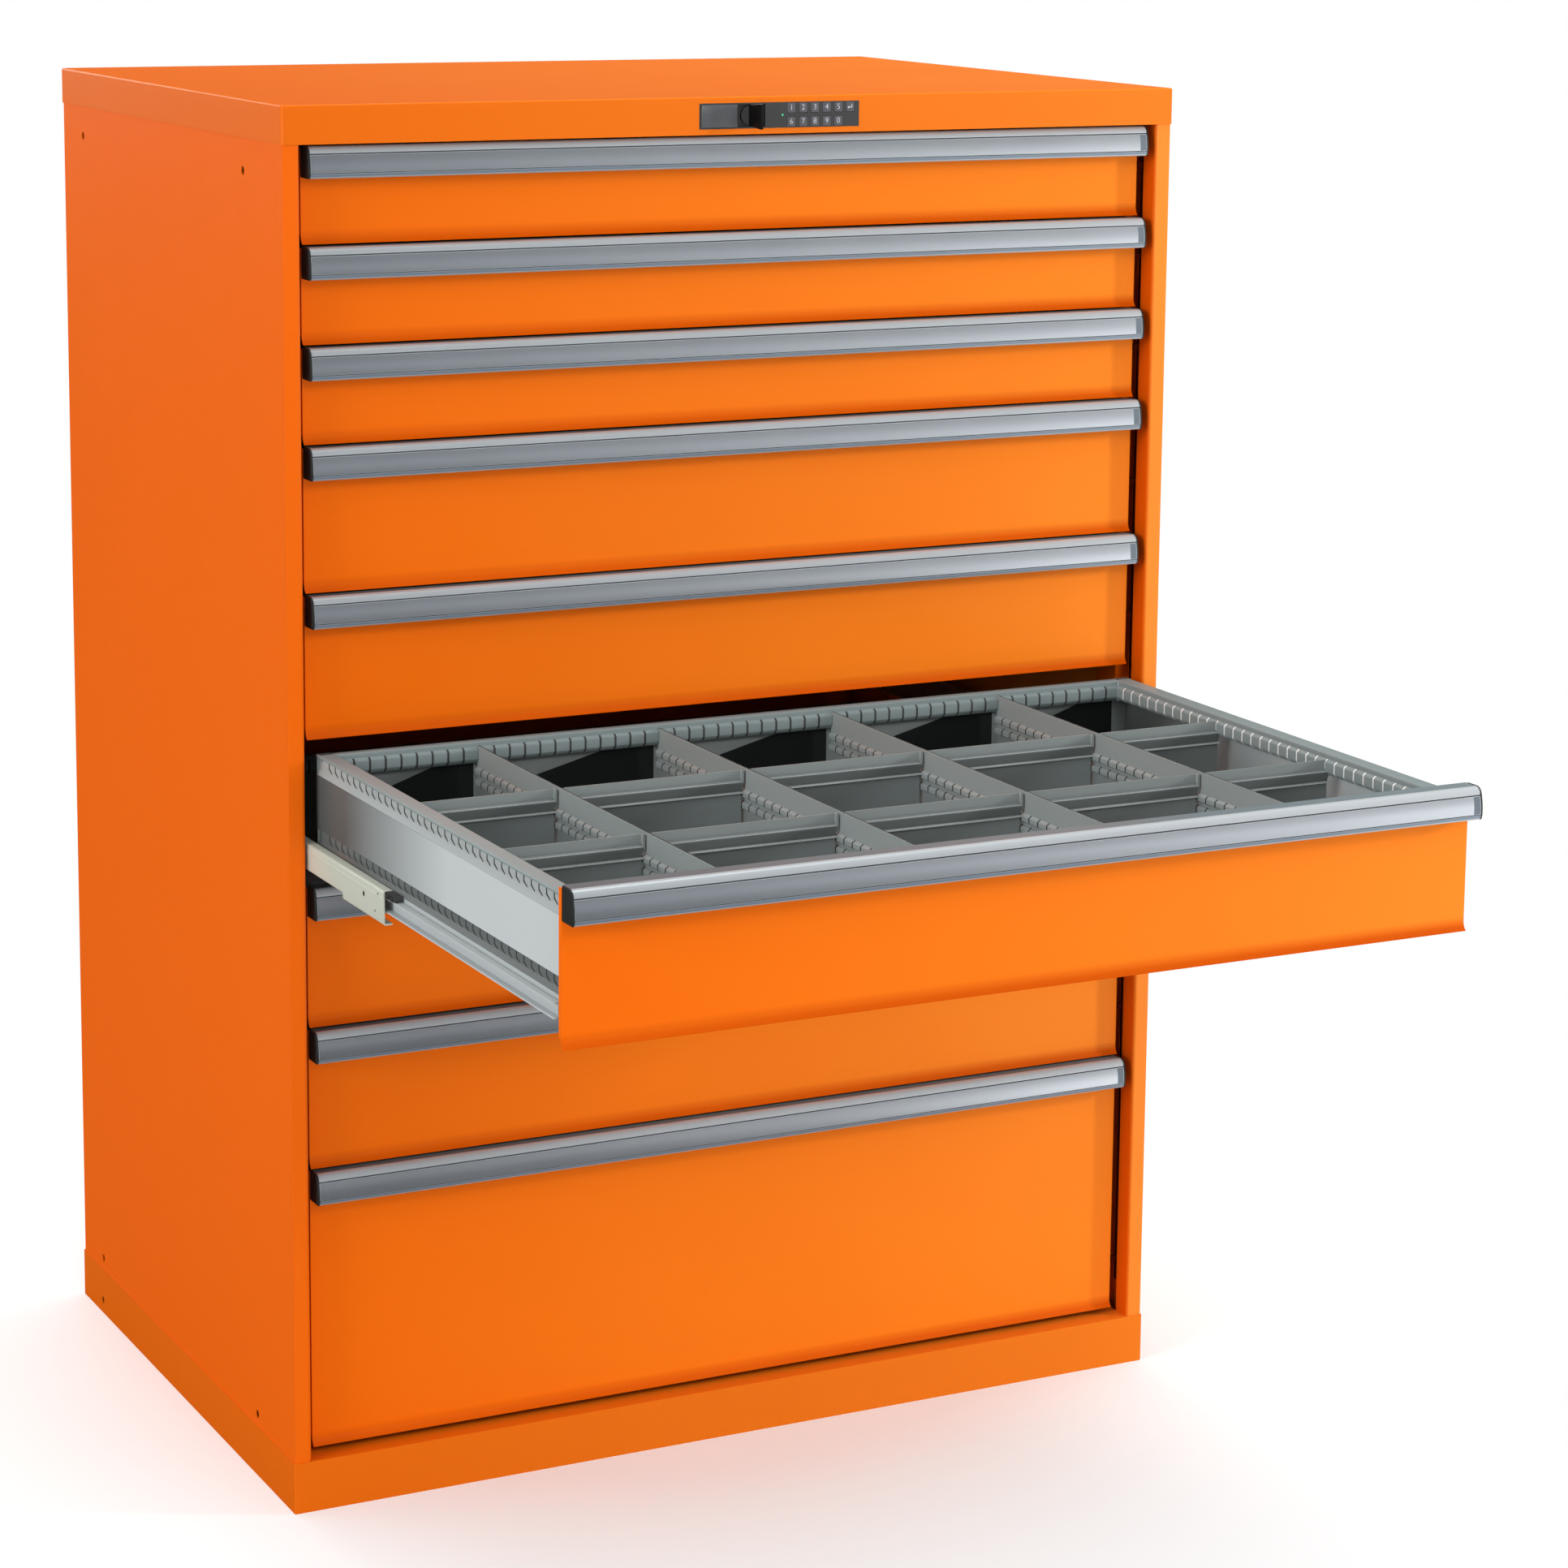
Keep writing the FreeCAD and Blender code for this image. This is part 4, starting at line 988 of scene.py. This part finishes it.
@dataclass
class Handle:
    """Aluminium grip with its label strip and two black caps, from the top of the handle."""

    half: float = 483.0
    cap: float = 2.0
    depth: float = 24.0
    height: float = 32.0
    wall: float = 2.2
    shoulder: float = 8.0
    shoulder_place: float = 13.9
    face_radius: float = 60.0
    face_middle: float = 24.0
    line: float = 7.2
    strip_high: float = 8.9
    strip_low: float = 26.0
    bead: float = 27.2
    leg: float = 14.0
    overhang: float = 3.0
    strip_gap: float = 8.5

    def arc(self, radius: float, start: float, end: float, steps: int) -> list[Point2]:
        """Points along the shoulder's arc, its angles in degrees from +y towards +z."""
        angles = [math.radians(start + (end - start) * i / steps) for i in range(steps + 1)]
        return [(radius * math.cos(angle) - self.shoulder_place, radius * math.sin(angle) - self.shoulder)
                for angle in angles]

    def face(self, low: float, proud: float = 0.0) -> Point2:
        """The point of the bulging face that lies a distance below the top."""
        rise = (low - self.face_middle) ** 2 / (2 * self.face_radius)
        return (rise - self.depth - proud, -low)

    def faces(self, start: float, end: float, steps: int, proud: float = 0.0) -> list[Point2]:
        """Points down the bulging face."""
        return [self.face(start + (end - start) * i / steps, proud) for i in range(steps + 1)]

    def build(self) -> Shape:
        """The metal, the strip and the caps."""
        shape = Shape()
        self.add_metal(shape)
        self.add_strips(shape)
        self.add_caps(shape)
        return shape

    @property
    def metal(self) -> float:
        """Half the length of the metal between the caps."""
        return self.half - self.cap

    def add_metal(self, shape: Shape) -> None:
        """Add the profile, from the overhang round the shoulder and down to the foot."""
        high = self.height
        outline = [(self.overhang, -0.3), (self.overhang - 0.3, 0.0)]
        outline += self.arc(self.shoulder, 90, 165, 10)
        outline += [self.face(self.line), self.face(self.line + 0.1, -0.9), self.face(self.line + 1.1, -0.9)]
        outline += self.faces(self.line + 1.2, self.bead - 0.8, 10)
        outline += [self.face(self.bead - 0.7, -0.7), self.face(self.bead - 0.1, -0.7)]
        outline += [self.face(self.bead), self.face(self.bead + 1.0, 0.1), self.face(self.bead + 3.0, -0.4),
                    self.face(high - 0.5, -1.2), self.face(high, -2.0)]
        outline += [self.face(high, -self.wall - 0.2), self.face(self.face_middle, -self.wall),
                    self.face(high / 2, -self.wall)]
        outline += self.arc(self.shoulder - self.wall, 165, 90, 6)
        outline += [(-self.wall, -self.wall), (-self.wall, -self.leg), (0.0, -self.leg),
                    (0.0, -self.wall), (self.overhang, -self.wall)]
        shape.sweep(outline, Axis.X, -self.metal, self.metal, Finish.GRIP)

    def add_strips(self, shape: Shape) -> None:
        """Add what has a tone of its own, or painted light and shade: label strip, its open end, flat top in
        painted shade, bead as a painted reflection and two dark lines.
        """
        metal = self.metal
        for start, end, proud, finish in (
            (1.0 - metal, metal - self.strip_gap, 0.35, Finish.STRIP),
            (metal - self.strip_gap, metal - 1.0, 0.1, Finish.GROOVE),
        ):
            strip = self.faces(self.strip_high, self.strip_low, 10, proud)
            strip += self.faces(self.strip_low, self.strip_high, 10, -0.2)
            shape.sweep(strip, Axis.X, start, end, finish)
        shape.box((0.3 - metal, 0.3 - self.shoulder_place, -0.3),
                  (metal - 0.3, self.overhang - 0.5, 0.06), Finish.FLAT)
        bead = [self.face(self.bead + rise, proud)
                for rise, proud in ((0.2, 0.08), (1.0, 0.2), (3.0, -0.3), (3.0, -0.7), (0.2, -0.3))]
        shape.sweep(bead, Axis.X, 0.2 - metal, metal - 0.2, Finish.BEAD)
        for high, low in ((self.line + 0.2, self.line + 1.0), (self.bead - 0.65, self.bead - 0.2)):
            line = [self.face(high), self.face(low), self.face(low, -0.8), self.face(high, -0.8)]
            shape.sweep(line, Axis.X, 0.2 - metal, metal - 0.2, Finish.LINE)

    def add_caps(self, shape: Shape) -> None:
        """Add a cap at each end, with a crown that is drawn in a little."""
        high = self.height
        cap = [(0.0, -0.6), (-0.6, 0.4)] + self.arc(self.shoulder + 0.4, 90, 165, 8)
        cap += self.faces(self.line, self.bead, 8, 0.6)
        cap += [self.face(high - 1.0, -0.2), self.face(high, -1.4), (-0.6, -high), (0.0, -high + 0.6)]
        crown = shrunk(cap, (-self.depth / 2, -high / 2), 0.93, 0.95)
        for sign in (-1.0, 1.0):
            inner, outer = sign * self.metal, sign * self.half
            shape.sweep(cap, Axis.X, inner, outer - sign * 0.7, Finish.CAP)
            shape.sweep(crown, Axis.X, outer - sign * 0.7, outer, Finish.CAP)


@dataclass
class MiddleRails:
    """A pair of cream channels, each with a deeper nose and a roller carrier."""

    web: float = 489.6
    flange: float = 480.0
    gauge: float = 1.5
    top: float = 47.0
    height: float = 28.0
    nose_height: float = 34.0
    nose: float = 90.0
    nose_length: float = 110.0
    tail: float = 677.8
    buffer: float = 24.0
    carrier_foot: float = 40.7
    roller_radius: float = 2.9

    def left(self) -> Shape:
        """The left rail."""
        skin = self.gauge / 2
        web = -self.web + skin
        lip = -self.flange
        high = self.top - skin
        shape = Shape()
        for start, end, low in (
            (self.nose, self.nose + self.nose_length, self.top - self.nose_height),
            (self.nose + self.nose_length, self.tail, self.top - self.height),
        ):
            path = [(lip, high), (web, high), (web, low + skin), (lip, low + skin)]
            shape.sweep(folded(path, self.gauge, 1.7), Axis.Y, start, end, Finish.RAIL)
        proud, sunk = -self.web - 0.3, -self.web + 0.3
        ridge = [(proud, high - 6.4), (proud, high - 8.2), (sunk, high - 9), (sunk, high - 5.6)]
        shape.sweep(ridge, Axis.Y, self.nose + 2, self.tail, Finish.RAIL)
        for behind, up, radius in ((52.0, 33.0, 3.6), (22.0, 23.0, 1.7), (14.0, 41.5, 1.6)):
            self.add_eyelet(shape, self.nose + behind, up, radius)
        self.add_carrier(shape)
        return shape

    def add_eyelet(self, shape: Shape, along: float, up: float, radius: float) -> None:
        """Add a pressed hole: a thin rim with a dark disc of painted shade in it."""
        for share, proud, finish in ((1.0, 0.25, Finish.RAIL), (0.74, 0.3, Finish.BLACK)):
            ring = circle(along, up, radius * share, 16)
            shape.sweep(ring, Axis.X, -self.web - proud, -self.web + 0.4, finish)

    def add_carrier(self, shape: Shape) -> None:
        """Add the roller carrier in front of the nose."""
        inner, outer = -self.flange + 1.0, -self.web + self.gauge + 0.2
        low, front = self.carrier_foot, self.nose - self.buffer
        corners = [(front, low), (self.nose, low), (self.nose, self.top), (front + 3, self.top)]
        shape.sweep(rounded(corners, 1.6, 3, True), Axis.X, outer, inner, Finish.BLACK)
        for along in (front + 6.0, front + 16.5):
            up, radius = low + 3.3, self.roller_radius
            shape.sweep(circle(along, up, radius, 14), Axis.X, outer - 0.9, outer + 0.1, Finish.CAP)
            shape.sweep(circle(along, up, radius * 0.35, 14), Axis.X, outer - 1.2, outer, Finish.ZINC)

    def build(self) -> Shape:
        """Both rails."""
        left = self.left()
        return Shape().add(left).add(left.mirrored())


@dataclass
class Insert:
    """Partitions and cross dividers of the open drawer."""

    repeater: Repeater
    rim: float = 137.0
    floor: float = 26.2
    depth: float = 612.0
    start: float = 2.4
    module: float = 17.0
    slit: float = 2.4
    partition_gauge: float = 1.5
    partition_drop: float = 4.0
    band: float = 22.0
    bead: float = 9.0
    bead_gap: float = 3.0
    bead_reach: float = 3.2
    divider_gauge: float = 1.0
    divider_drop: float = 6.0
    label_band: float = 10.0
    ledge: float = 4.0
    slope: float = 13.0
    play: float = 0.3
    places: tuple[float, ...] = (-306.0, -102.0, 102.0, 306.0)
    inner: float = 459.0
    rear_wall: float = 11.5
    shadow_drop: float = 24.7
    shadow_slant: float = 36.0
    shadow_bend: float = 0.7
    rows: int = 3

    def partition(self) -> Shape:
        """One partition about x = 0."""
        half = self.partition_gauge / 2
        top = self.rim - self.partition_drop
        bead_tops = [top - self.band, top - self.band - self.bead - self.bead_gap]
        shape = Shape()
        end = self.start + self.depth
        for high, low, finish in (
            (top, bead_tops[0], Finish.INNER),
            (bead_tops[0] - self.bead, bead_tops[1], Finish.INNER),
            (bead_tops[1] - self.bead, self.floor, Finish.WELL),
        ):
            shape.box((-half, self.start, low), (half, end, high), finish)
        # A painted highlight along the top edge.
        shape.box((-half - 0.1, self.start, top - 0.5), (half + 0.1, end, top), Finish.LEDGE)
        root, crest = half - 0.3, half + self.bead_reach - 0.4
        for high in bead_tops:
            low = high - self.bead
            row = self.bead_row([(root, high), (crest, high - 2.0), (crest, low + 2.0), (root, low)])
            shape.add(row).add(row.mirrored())
        return shape

    def bead_row(self, path: Sequence[Point2]) -> Shape:
        """One slotted bead: plates in a row, with a dark plate of painted shade in the slit between each two.
        """
        first = self.start + self.slit / 2
        last = self.start + self.module - self.slit / 2
        count = round(self.depth / self.module)
        result = Shape()
        for start, end, gauge, copies, finish in (
            (first, last, 0.8, count, Finish.INNER),
            (last, last + self.slit, 0.6, count - 1, Finish.BLACK),
        ):
            seed = Shape().sweep(folded(path, gauge, 1.4, 3), Axis.Y, start, end, finish)
            result.add(self.repeater.repeat(seed, copies, (0.0, self.module, 0.0), finish))
        return result

    def divider(self, left: float, right: float, middle: float) -> Shape:
        """One divider between two places across the drawer."""
        gauge = self.divider_gauge
        top = self.rim - self.divider_drop
        ledge = top - self.label_band
        shape = Shape()
        plate = round_rectangle((left, ledge), (right, top), 3.0, 4)
        shape.sweep(plate, Axis.Y, middle, middle + gauge, Finish.INNER)
        front = middle - self.ledge
        skin = gauge / 2
        foot = ledge - self.slope
        path = [(middle + skin, ledge + 0.5), (front + skin, ledge - 1.2), (front + skin, ledge - 3.2),
                (middle + skin, foot), (middle + skin, foot - 2.0)]
        # The slanted band and the wall below are painted shade.
        shape.sweep(folded(path, gauge, 1.0, 3), Axis.X, left, right, Finish.SHADE)
        shape.box((left, middle, self.floor), (right, middle + gauge, foot - 2.0), Finish.WELL)
        # The ledge's edge and the hem are painted highlights.
        shape.box((left + 0.5, front - 0.15, ledge - 1.9), (right - 0.5, front + 0.3, ledge - 0.9),
                  Finish.LEDGE)
        hem = [(front - 0.3, foot + 0.6), (front - 0.3, foot - 0.4), (middle, foot - 0.8),
               (middle, foot + 1.0)]
        shape.sweep(hem, Axis.X, left, right, Finish.LEDGE)
        return shape

    def shadow_plate(self, left: float, right: float) -> Shape:
        """A dark plate of painted shadow on the rear wall in one compartment, cut off at a slant."""
        high = self.rim - self.shadow_drop
        bend = left + self.shadow_bend * (right - left)
        outline = [(left, self.floor), (right, self.floor), (right, high), (bend, high),
                   (left, high - self.shadow_slant)]
        behind = self.start + self.depth + self.rear_wall - 1.2
        return Shape().sweep(outline, Axis.Y, behind - 0.2, behind + 0.3, Finish.DEEP)

    def build(self) -> tuple[Shape, Shape]:
        """All partitions, and all dividers."""
        partitions = Shape()
        one = self.partition()
        for place in self.places:
            partitions.add(one, (place, 0.0, 0.0))
        edges = (-self.inner, *self.places, self.inner)
        # A painted shadow on the rear wall of each compartment.
        for left, right in zip(edges, edges[1:]):
            partitions.add(self.shadow_plate(left + 1.0, right - 1.0))
        dividers = Shape()
        room = self.partition_gauge / 2 + self.bead_reach
        last = len(edges) - 2
        for row in range(1, self.rows):
            middle = self.start + self.depth - self.depth * row / self.rows
            for column in range(last + 1):
                left = edges[column] + (room if column else 0.0) + self.play
                right = edges[column + 1] - (room if column < last else 0.0) - self.play
                dividers.add(self.divider(left, right, middle))
                if column < last:
                    dividers.add(self.clip(right, middle))
        return partitions, dividers

    def clip(self, right: float, middle: float) -> Shape:
        """The tongue at a divider's right end, which sits in a partition's bead."""
        near, far = right - 1, right + 1.6
        corners = [(near, self.rim - 20), (far, self.rim - 20), (far, self.rim - 7), (near, self.rim - 5)]
        return Shape().sweep(
            rounded(corners, 0.8, 2, True), Axis.Y, middle - 3.4, middle + 1.0, Finish.INNER)


@dataclass
class Drawers:
    """Nine drawers, each with a tray, a front, a handle and a pair of middle rails."""

    frame: dict
    cells: Cells
    repeater: Repeater
    handle_drop: float = 2.0

    def build(self) -> None:
        """Build every drawer where it stands."""
        tray = Tray(self.repeater)
        trays = {kind: tray.build(kind) for kind in set(STACK)}
        handle = Handle().build()
        rails = MiddleRails().build()
        paints = {Kind.SHALLOW: Finish.SHALLOW_FRONT, Kind.MEDIUM: Finish.MEDIUM_FRONT,
                  Kind.DEEP: Finish.DEEP_FRONT}
        for number, kind in enumerate(STACK, start=1):
            name = f"drawer_{number}"
            place = self.cells.place(number)
            sheet = Shape().add(trays[kind], place)
            finish_piece(f"{name}_tray_sheet", sheet, name, [f"{name}_tray"])
            dress(self.frame, f"{name}_front", paints[kind])
            grip = Shape().add(handle, (0.0, place[1], place[2] + kind.value - self.handle_drop))
            finish_piece(f"{name}_grip", grip, name, [f"{name}_handle"])
            pair = Shape().add(rails, self.cells.rail_place(number))
            finish_piece(f"{name}_rail_pair", pair, f"{name}_rails",
                         [f"{name}_middle_rails"])
        name = f"drawer_{OPEN_DRAWER}"
        place = self.cells.place(OPEN_DRAWER)
        for kind, shape in zip(("partition", "divider"), Insert(self.repeater).build()):
            finish_piece(f"{name}_{kind}_set", Shape().add(shape, place), name,
                         [f"{name}_{kind}s"])


@dataclass
class LockStrip:
    """Lock strip with its plate, light, thumb turn and keys."""

    frame: dict
    front: float = -362.5
    axis: float = 1430.2
    proud: float = 0.5
    key_proud: float = 0.3
    key_width: float = 9.4
    key_height: float = 10.3
    key_thickness: float = 2.8
    legend_size: float = 8.2
    plate: tuple[float, float] = (-57.2, -16.3)
    plate_half: float = 11.6
    light: float = 36.1
    light_radius: float = 0.95
    first: float = 46.3
    pitch: float = 13.75
    row_pitch: float = 14.4
    rows: tuple[tuple[str, ...], ...] = (
        ("key_1", "key_2", "key_3", "key_4", "key_5", "key_enter"),
        ("key_6", "key_7", "key_8", "key_9", "key_0"),
    )

    def key(self, name: str, across: float, up: float) -> None:
        """Build one key with its legend."""
        face = self.front - self.proud - self.key_proud
        half_wide, half_high = self.key_width / 2, self.key_height / 2
        outline = round_rectangle(
            (across - half_wide, up - half_high), (across + half_wide, up + half_high), 0.8, 3)
        shape = Shape().sweep(outline, Axis.Y, face, face + self.key_thickness, Finish.KEY)
        finish_piece(f"{name}_button", shape, name, [name], 0.35)
        if name == "key_enter":
            mark = self.arrow(across, up, face)
        else:
            mark = self.legend(name[-1], across, up, face)
        mark.name = f"{name}_legend"
        smooth(mark)
        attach(mark, name)

    def legend(self, text: str, across: float, up: float, face: float) -> bpy.types.Object:
        """A digit printed on a key."""
        curve = bpy.data.curves.new("legend", "FONT")
        curve.body = text
        curve.size = self.legend_size * MM
        curve.align_x = "CENTER"
        curve.align_y = "CENTER"
        curve.extrude = 0.03 * MM
        curve.offset = -0.16 * MM
        curve.resolution_u = 4
        temporary = bpy.data.objects.new("legend", curve)
        bpy.context.scene.collection.objects.link(temporary)
        bpy.context.view_layer.update()
        graph = bpy.context.evaluated_depsgraph_get()
        mesh = bpy.data.meshes.new_from_object(temporary.evaluated_get(graph))
        bpy.data.objects.remove(temporary)
        place = Matrix.Translation((across * MM, (face - 0.02) * MM, (up + 0.2) * MM))
        mesh.transform(place @ Matrix.Rotation(math.pi / 2, 4, "X"))
        mesh.materials.clear()
        mesh.materials.append(Finish.INK.made())
        return new_object("legend", mesh)

    def arrow(self, across: float, up: float, face: float) -> bpy.types.Object:
        """The bent arrow on the enter key."""
        shape = Shape()
        front, back = face - 0.05, face + 0.02
        shape.box((across + 1.6, front, up - 0.9), (across + 2.2, back, up + 2.4), Finish.INK)
        shape.box((across - 1.4, front, up - 0.9), (across + 1.6, back, up - 0.3), Finish.INK)
        shape.sweep([(across - 3.0, up - 0.6), (across - 1.3, up - 2.0), (across - 1.3, up + 0.8)],
                    Axis.Y, front, back, Finish.INK)
        return new_object("legend", shape.mesh("legend"))

    def turn(self) -> None:
        """The thumb turn: a blade on a round hub, and the crank behind the strip."""
        blade = [
            (self.front + 4.5, self.axis - 11.0), (self.front + 4.5, self.axis + 11.0),
            (self.front - 1.5, self.axis + 11.0), (self.front - 24.5, self.axis + 13.0),
            (self.front - 25.6, self.axis + 12.4), (self.front - 26.0, self.axis + 11.4),
            (self.front - 26.0, self.axis - 11.6), (self.front - 25.6, self.axis - 12.7),
            (self.front - 24.6, self.axis - 13.0), (self.front - 1.5, self.axis - 11.0)]
        shape = Shape().sweep(blade, Axis.X, -1.5, 1.5, Finish.BLADE)
        # A light line along the blade's top edge: a painted highlight.
        ridge = [(self.front - 2.0, self.axis + 10.6), (self.front - 2.0, self.axis + 11.15),
                 (self.front - 24.4, self.axis + 13.1), (self.front - 24.4, self.axis + 12.5)]
        shape.sweep(ridge, Axis.X, -1.1, 1.1, Finish.INK)
        for across, radius, start, end, finish in (
            (0.0, 10.5, 1.75, 4.75, Finish.BLACK),
            (0.0, 4.0, 4.7, 25.4, Finish.ZINC),
            (7.0, 2.5, 22.0, 34.0, Finish.ZINC),
        ):
            ring = circle(across, self.axis, radius, 40)
            shape.sweep(ring, Axis.Y, self.front + start, self.front + end, finish)
        shape.box((-4.0, self.front + 22.0, self.axis - 4.0), (11.0, self.front + 25.4, self.axis + 4.0),
                  Finish.ZINC)
        finish_piece("lock_turn", shape, "lock_knob", ["lock_knob"], 0.35)

    def build(self) -> None:
        """Build the strip's visible pieces."""
        dress(self.frame, "lock_housing", Finish.BLACK)
        face = self.front - self.proud
        left, right = self.plate
        plate = round_rectangle(
            (left, self.axis - self.plate_half), (right, self.axis + self.plate_half), 0.6, 3)
        finish_piece("lock_plate", Shape().sweep(plate, Axis.Y, face - 0.9, face + 0.2, Finish.PLATE),
                     "cabinet", (), 0.3)
        lens = circle(self.light, self.axis, self.light_radius, 20)
        finish_piece("status_lens", Shape().sweep(lens, Axis.Y, face - 0.35, face + 0.5, Finish.LED),
                     "cabinet", (), 0.2)
        self.turn()
        for row, names in enumerate(self.rows):
            for column, name in enumerate(names):
                self.key(name, self.first + self.pitch * column, self.axis + self.row_pitch * (0.5 - row))


# Studio


@dataclass(frozen=True)
class Lamp:
    """A large soft lamp: its place, its aim and its sides in metres, and its power in watts."""

    name: str
    place: Point3
    aim: Point3
    width: float
    height: float
    watts: float

    def hang(self) -> None:
        """Put the lamp in the scene."""
        data = bpy.data.lights.new(self.name, "AREA")
        data.shape = "RECTANGLE"
        data.size = self.width
        data.size_y = self.height
        data.energy = self.watts
        lamp = bpy.data.objects.new(self.name, data)
        lamp.location = self.place
        way = Vector(self.aim) - Vector(self.place)
        lamp.rotation_euler = way.to_track_quat("-Z", "Y").to_euler()
        bpy.context.scene.collection.objects.link(lamp)


@dataclass
class Studio:
    """Camera, floor, lamps and world. The eye is in millimetres, and angles are in degrees."""

    focal_pixels: float = 4998.0
    yaw: float = 26.93
    pitch: float = 9.46
    roll: float = 0.58
    shift: float = 0.16
    eye: Point3 = (-1866.1, -4120.5, 1693.2)
    sensor: float = 36.0
    even: float = 0.5
    floor_reach: float = 40000.0
    lamps: tuple[Lamp, ...] = (
        Lamp("key_front", (-1.6, -13.0, 8.0), (0.0, -0.4, 0.8), 3.4, 3.4, 250.0),
        Lamp("low_front", (-1.2, -13.0, 0.9), (0.0, -0.4, 0.6), 4.0, 1.4, 400.0),
        Lamp("side_right", (3.9, -2.5, 2.0), (0.3, -0.4, 0.8), 0.3, 0.6, 72.0),
        Lamp("fill_left", (-7.6, -2.2, 3.2), (0.0, -0.2, 0.7), 3.4, 3.4, 320.0),
        Lamp("fill_back", (-1.5, 8.0, 2.6), (0.0, 0.0, 0.8), 3.0, 3.0, 120.0),
        Lamp("top_soft", (0.4, 0.4, 7.5), (0.0, 0.0, 1.0), 4.5, 4.0, 350.0),
    )

    def camera(self) -> None:
        """Place the camera at the photograph's viewing angle."""
        data = bpy.data.cameras.new("camera")
        data.sensor_width = self.sensor
        data.lens = self.sensor * self.focal_pixels / IMAGE_SIDE
        data.shift_y = -self.shift
        data.clip_end = 60.0
        yaw, pitch, roll = (math.radians(angle) for angle in (self.yaw, self.pitch, self.roll))
        ahead = Vector((math.sin(yaw) * math.cos(pitch), math.cos(yaw) * math.cos(pitch), -math.sin(pitch)))
        right = Vector((math.cos(yaw), -math.sin(yaw), 0.0))
        up = right.cross(ahead)
        turned_right = right * math.cos(roll) + up * math.sin(roll)
        turned_up = -right * math.sin(roll) + up * math.cos(roll)
        matrix = Matrix((turned_right, turned_up, -ahead)).transposed().to_4x4()
        matrix.translation = Vector(self.eye) * MM
        camera = bpy.data.objects.new("camera", data)
        camera.matrix_world = matrix
        bpy.context.scene.collection.objects.link(camera)
        bpy.context.scene.camera = camera

    def floor(self) -> None:
        """A plain pale floor that keeps the shadow near the object and fades to white."""
        reach = self.floor_reach
        shape = Shape().box((-reach, -reach, -20.0), (reach, reach, 0.0), Finish.INK)
        piece = new_object("studio_floor", shape.mesh("studio_floor"))
        material, graph = new_material("studio_white")
        away = graph.node(
            "ShaderNodeVectorMath", {"operation": "LENGTH"}, {0: graph.scaled_place((1.0, 1.0, 0.0))}, "Value")
        fade = ((away - 0.45) / 0.65).clamped()
        seen, mirrored = self.rays(graph)
        rightward = ((graph.part(Axis.X) / away - 0.22) / 0.4).clamped()
        shade = graph.mixed(seen, (0.55, 0.55, 0.55), (0.96, 0.96, 0.96))
        diffuse = graph.node("ShaderNodeBsdfDiffuse", {}, {"Color": shade})
        glow = seen + (1 - seen) * rightward * rightward * (away - 0.7).clamped() * 2.0
        white = graph.node("ShaderNodeEmission", {}, {"Color": (1.0, 1.0, 1.0, 1.0), "Strength": glow})
        graph.surface(graph.node(
            "ShaderNodeMixShader", {}, {0: fade * seen + mirrored, 1: diffuse, 2: white}))
        piece.data.materials.clear()
        piece.data.materials.append(material)

    def rays(self, graph: Graph) -> tuple[Value, Value]:
        """Whether the camera sees a point, and whether a shiny surface mirrors it."""
        return tuple(graph.node("ShaderNodeLightPath", {}, {}, kind)
                     for kind in ("Is Camera Ray", "Is Glossy Ray"))

    def world(self) -> None:
        """Even light from all round, white where the camera sees it and darker in mirrored views."""
        world = bpy.data.worlds.new("studio")
        world.use_nodes = True
        bpy.context.scene.world = world
        graph = Graph(world.node_tree)
        seen, mirrored = self.rays(graph)
        way = graph.node("ShaderNodeTexCoord", {}, {}, "Generated")
        right, back, rise = (graph.node("ShaderNodeSeparateXYZ", {}, {0: way}, name) for name in "XYZ")
        panel = ((right - 0.2) / 0.5).clamped() * (0.0 - back).clamped()
        room = panel * (1 - rise * 4.0).clamped() * 1.3 + rise.clamped() * 0.3 + 0.05
        plain = mirrored * room + (1 - mirrored) * self.even
        background = graph.node("ShaderNodeBackground", {}, {
            "Color": (1.0, 1.0, 1.0, 1.0), "Strength": seen + (1 - seen) * plain})
        graph.surface(background, "ShaderNodeOutputWorld")

    def build(self) -> None:
        """Set up the studio."""
        bpy.context.scene.view_settings.view_transform = "Standard"
        self.camera()
        self.floor()
        self.world()
        for lamp in self.lamps:
            lamp.hang()


def main() -> None:
    """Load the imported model, dress it and set up the studio."""
    logging.basicConfig(level=logging.INFO, format="%(name)s: %(message)s")
    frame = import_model()
    Studio().build()
    Carcass(frame).build()
    Drawers(frame, Cells(), Repeater()).build()
    LockStrip(frame).build()


if __name__ == "__main__":
    main()
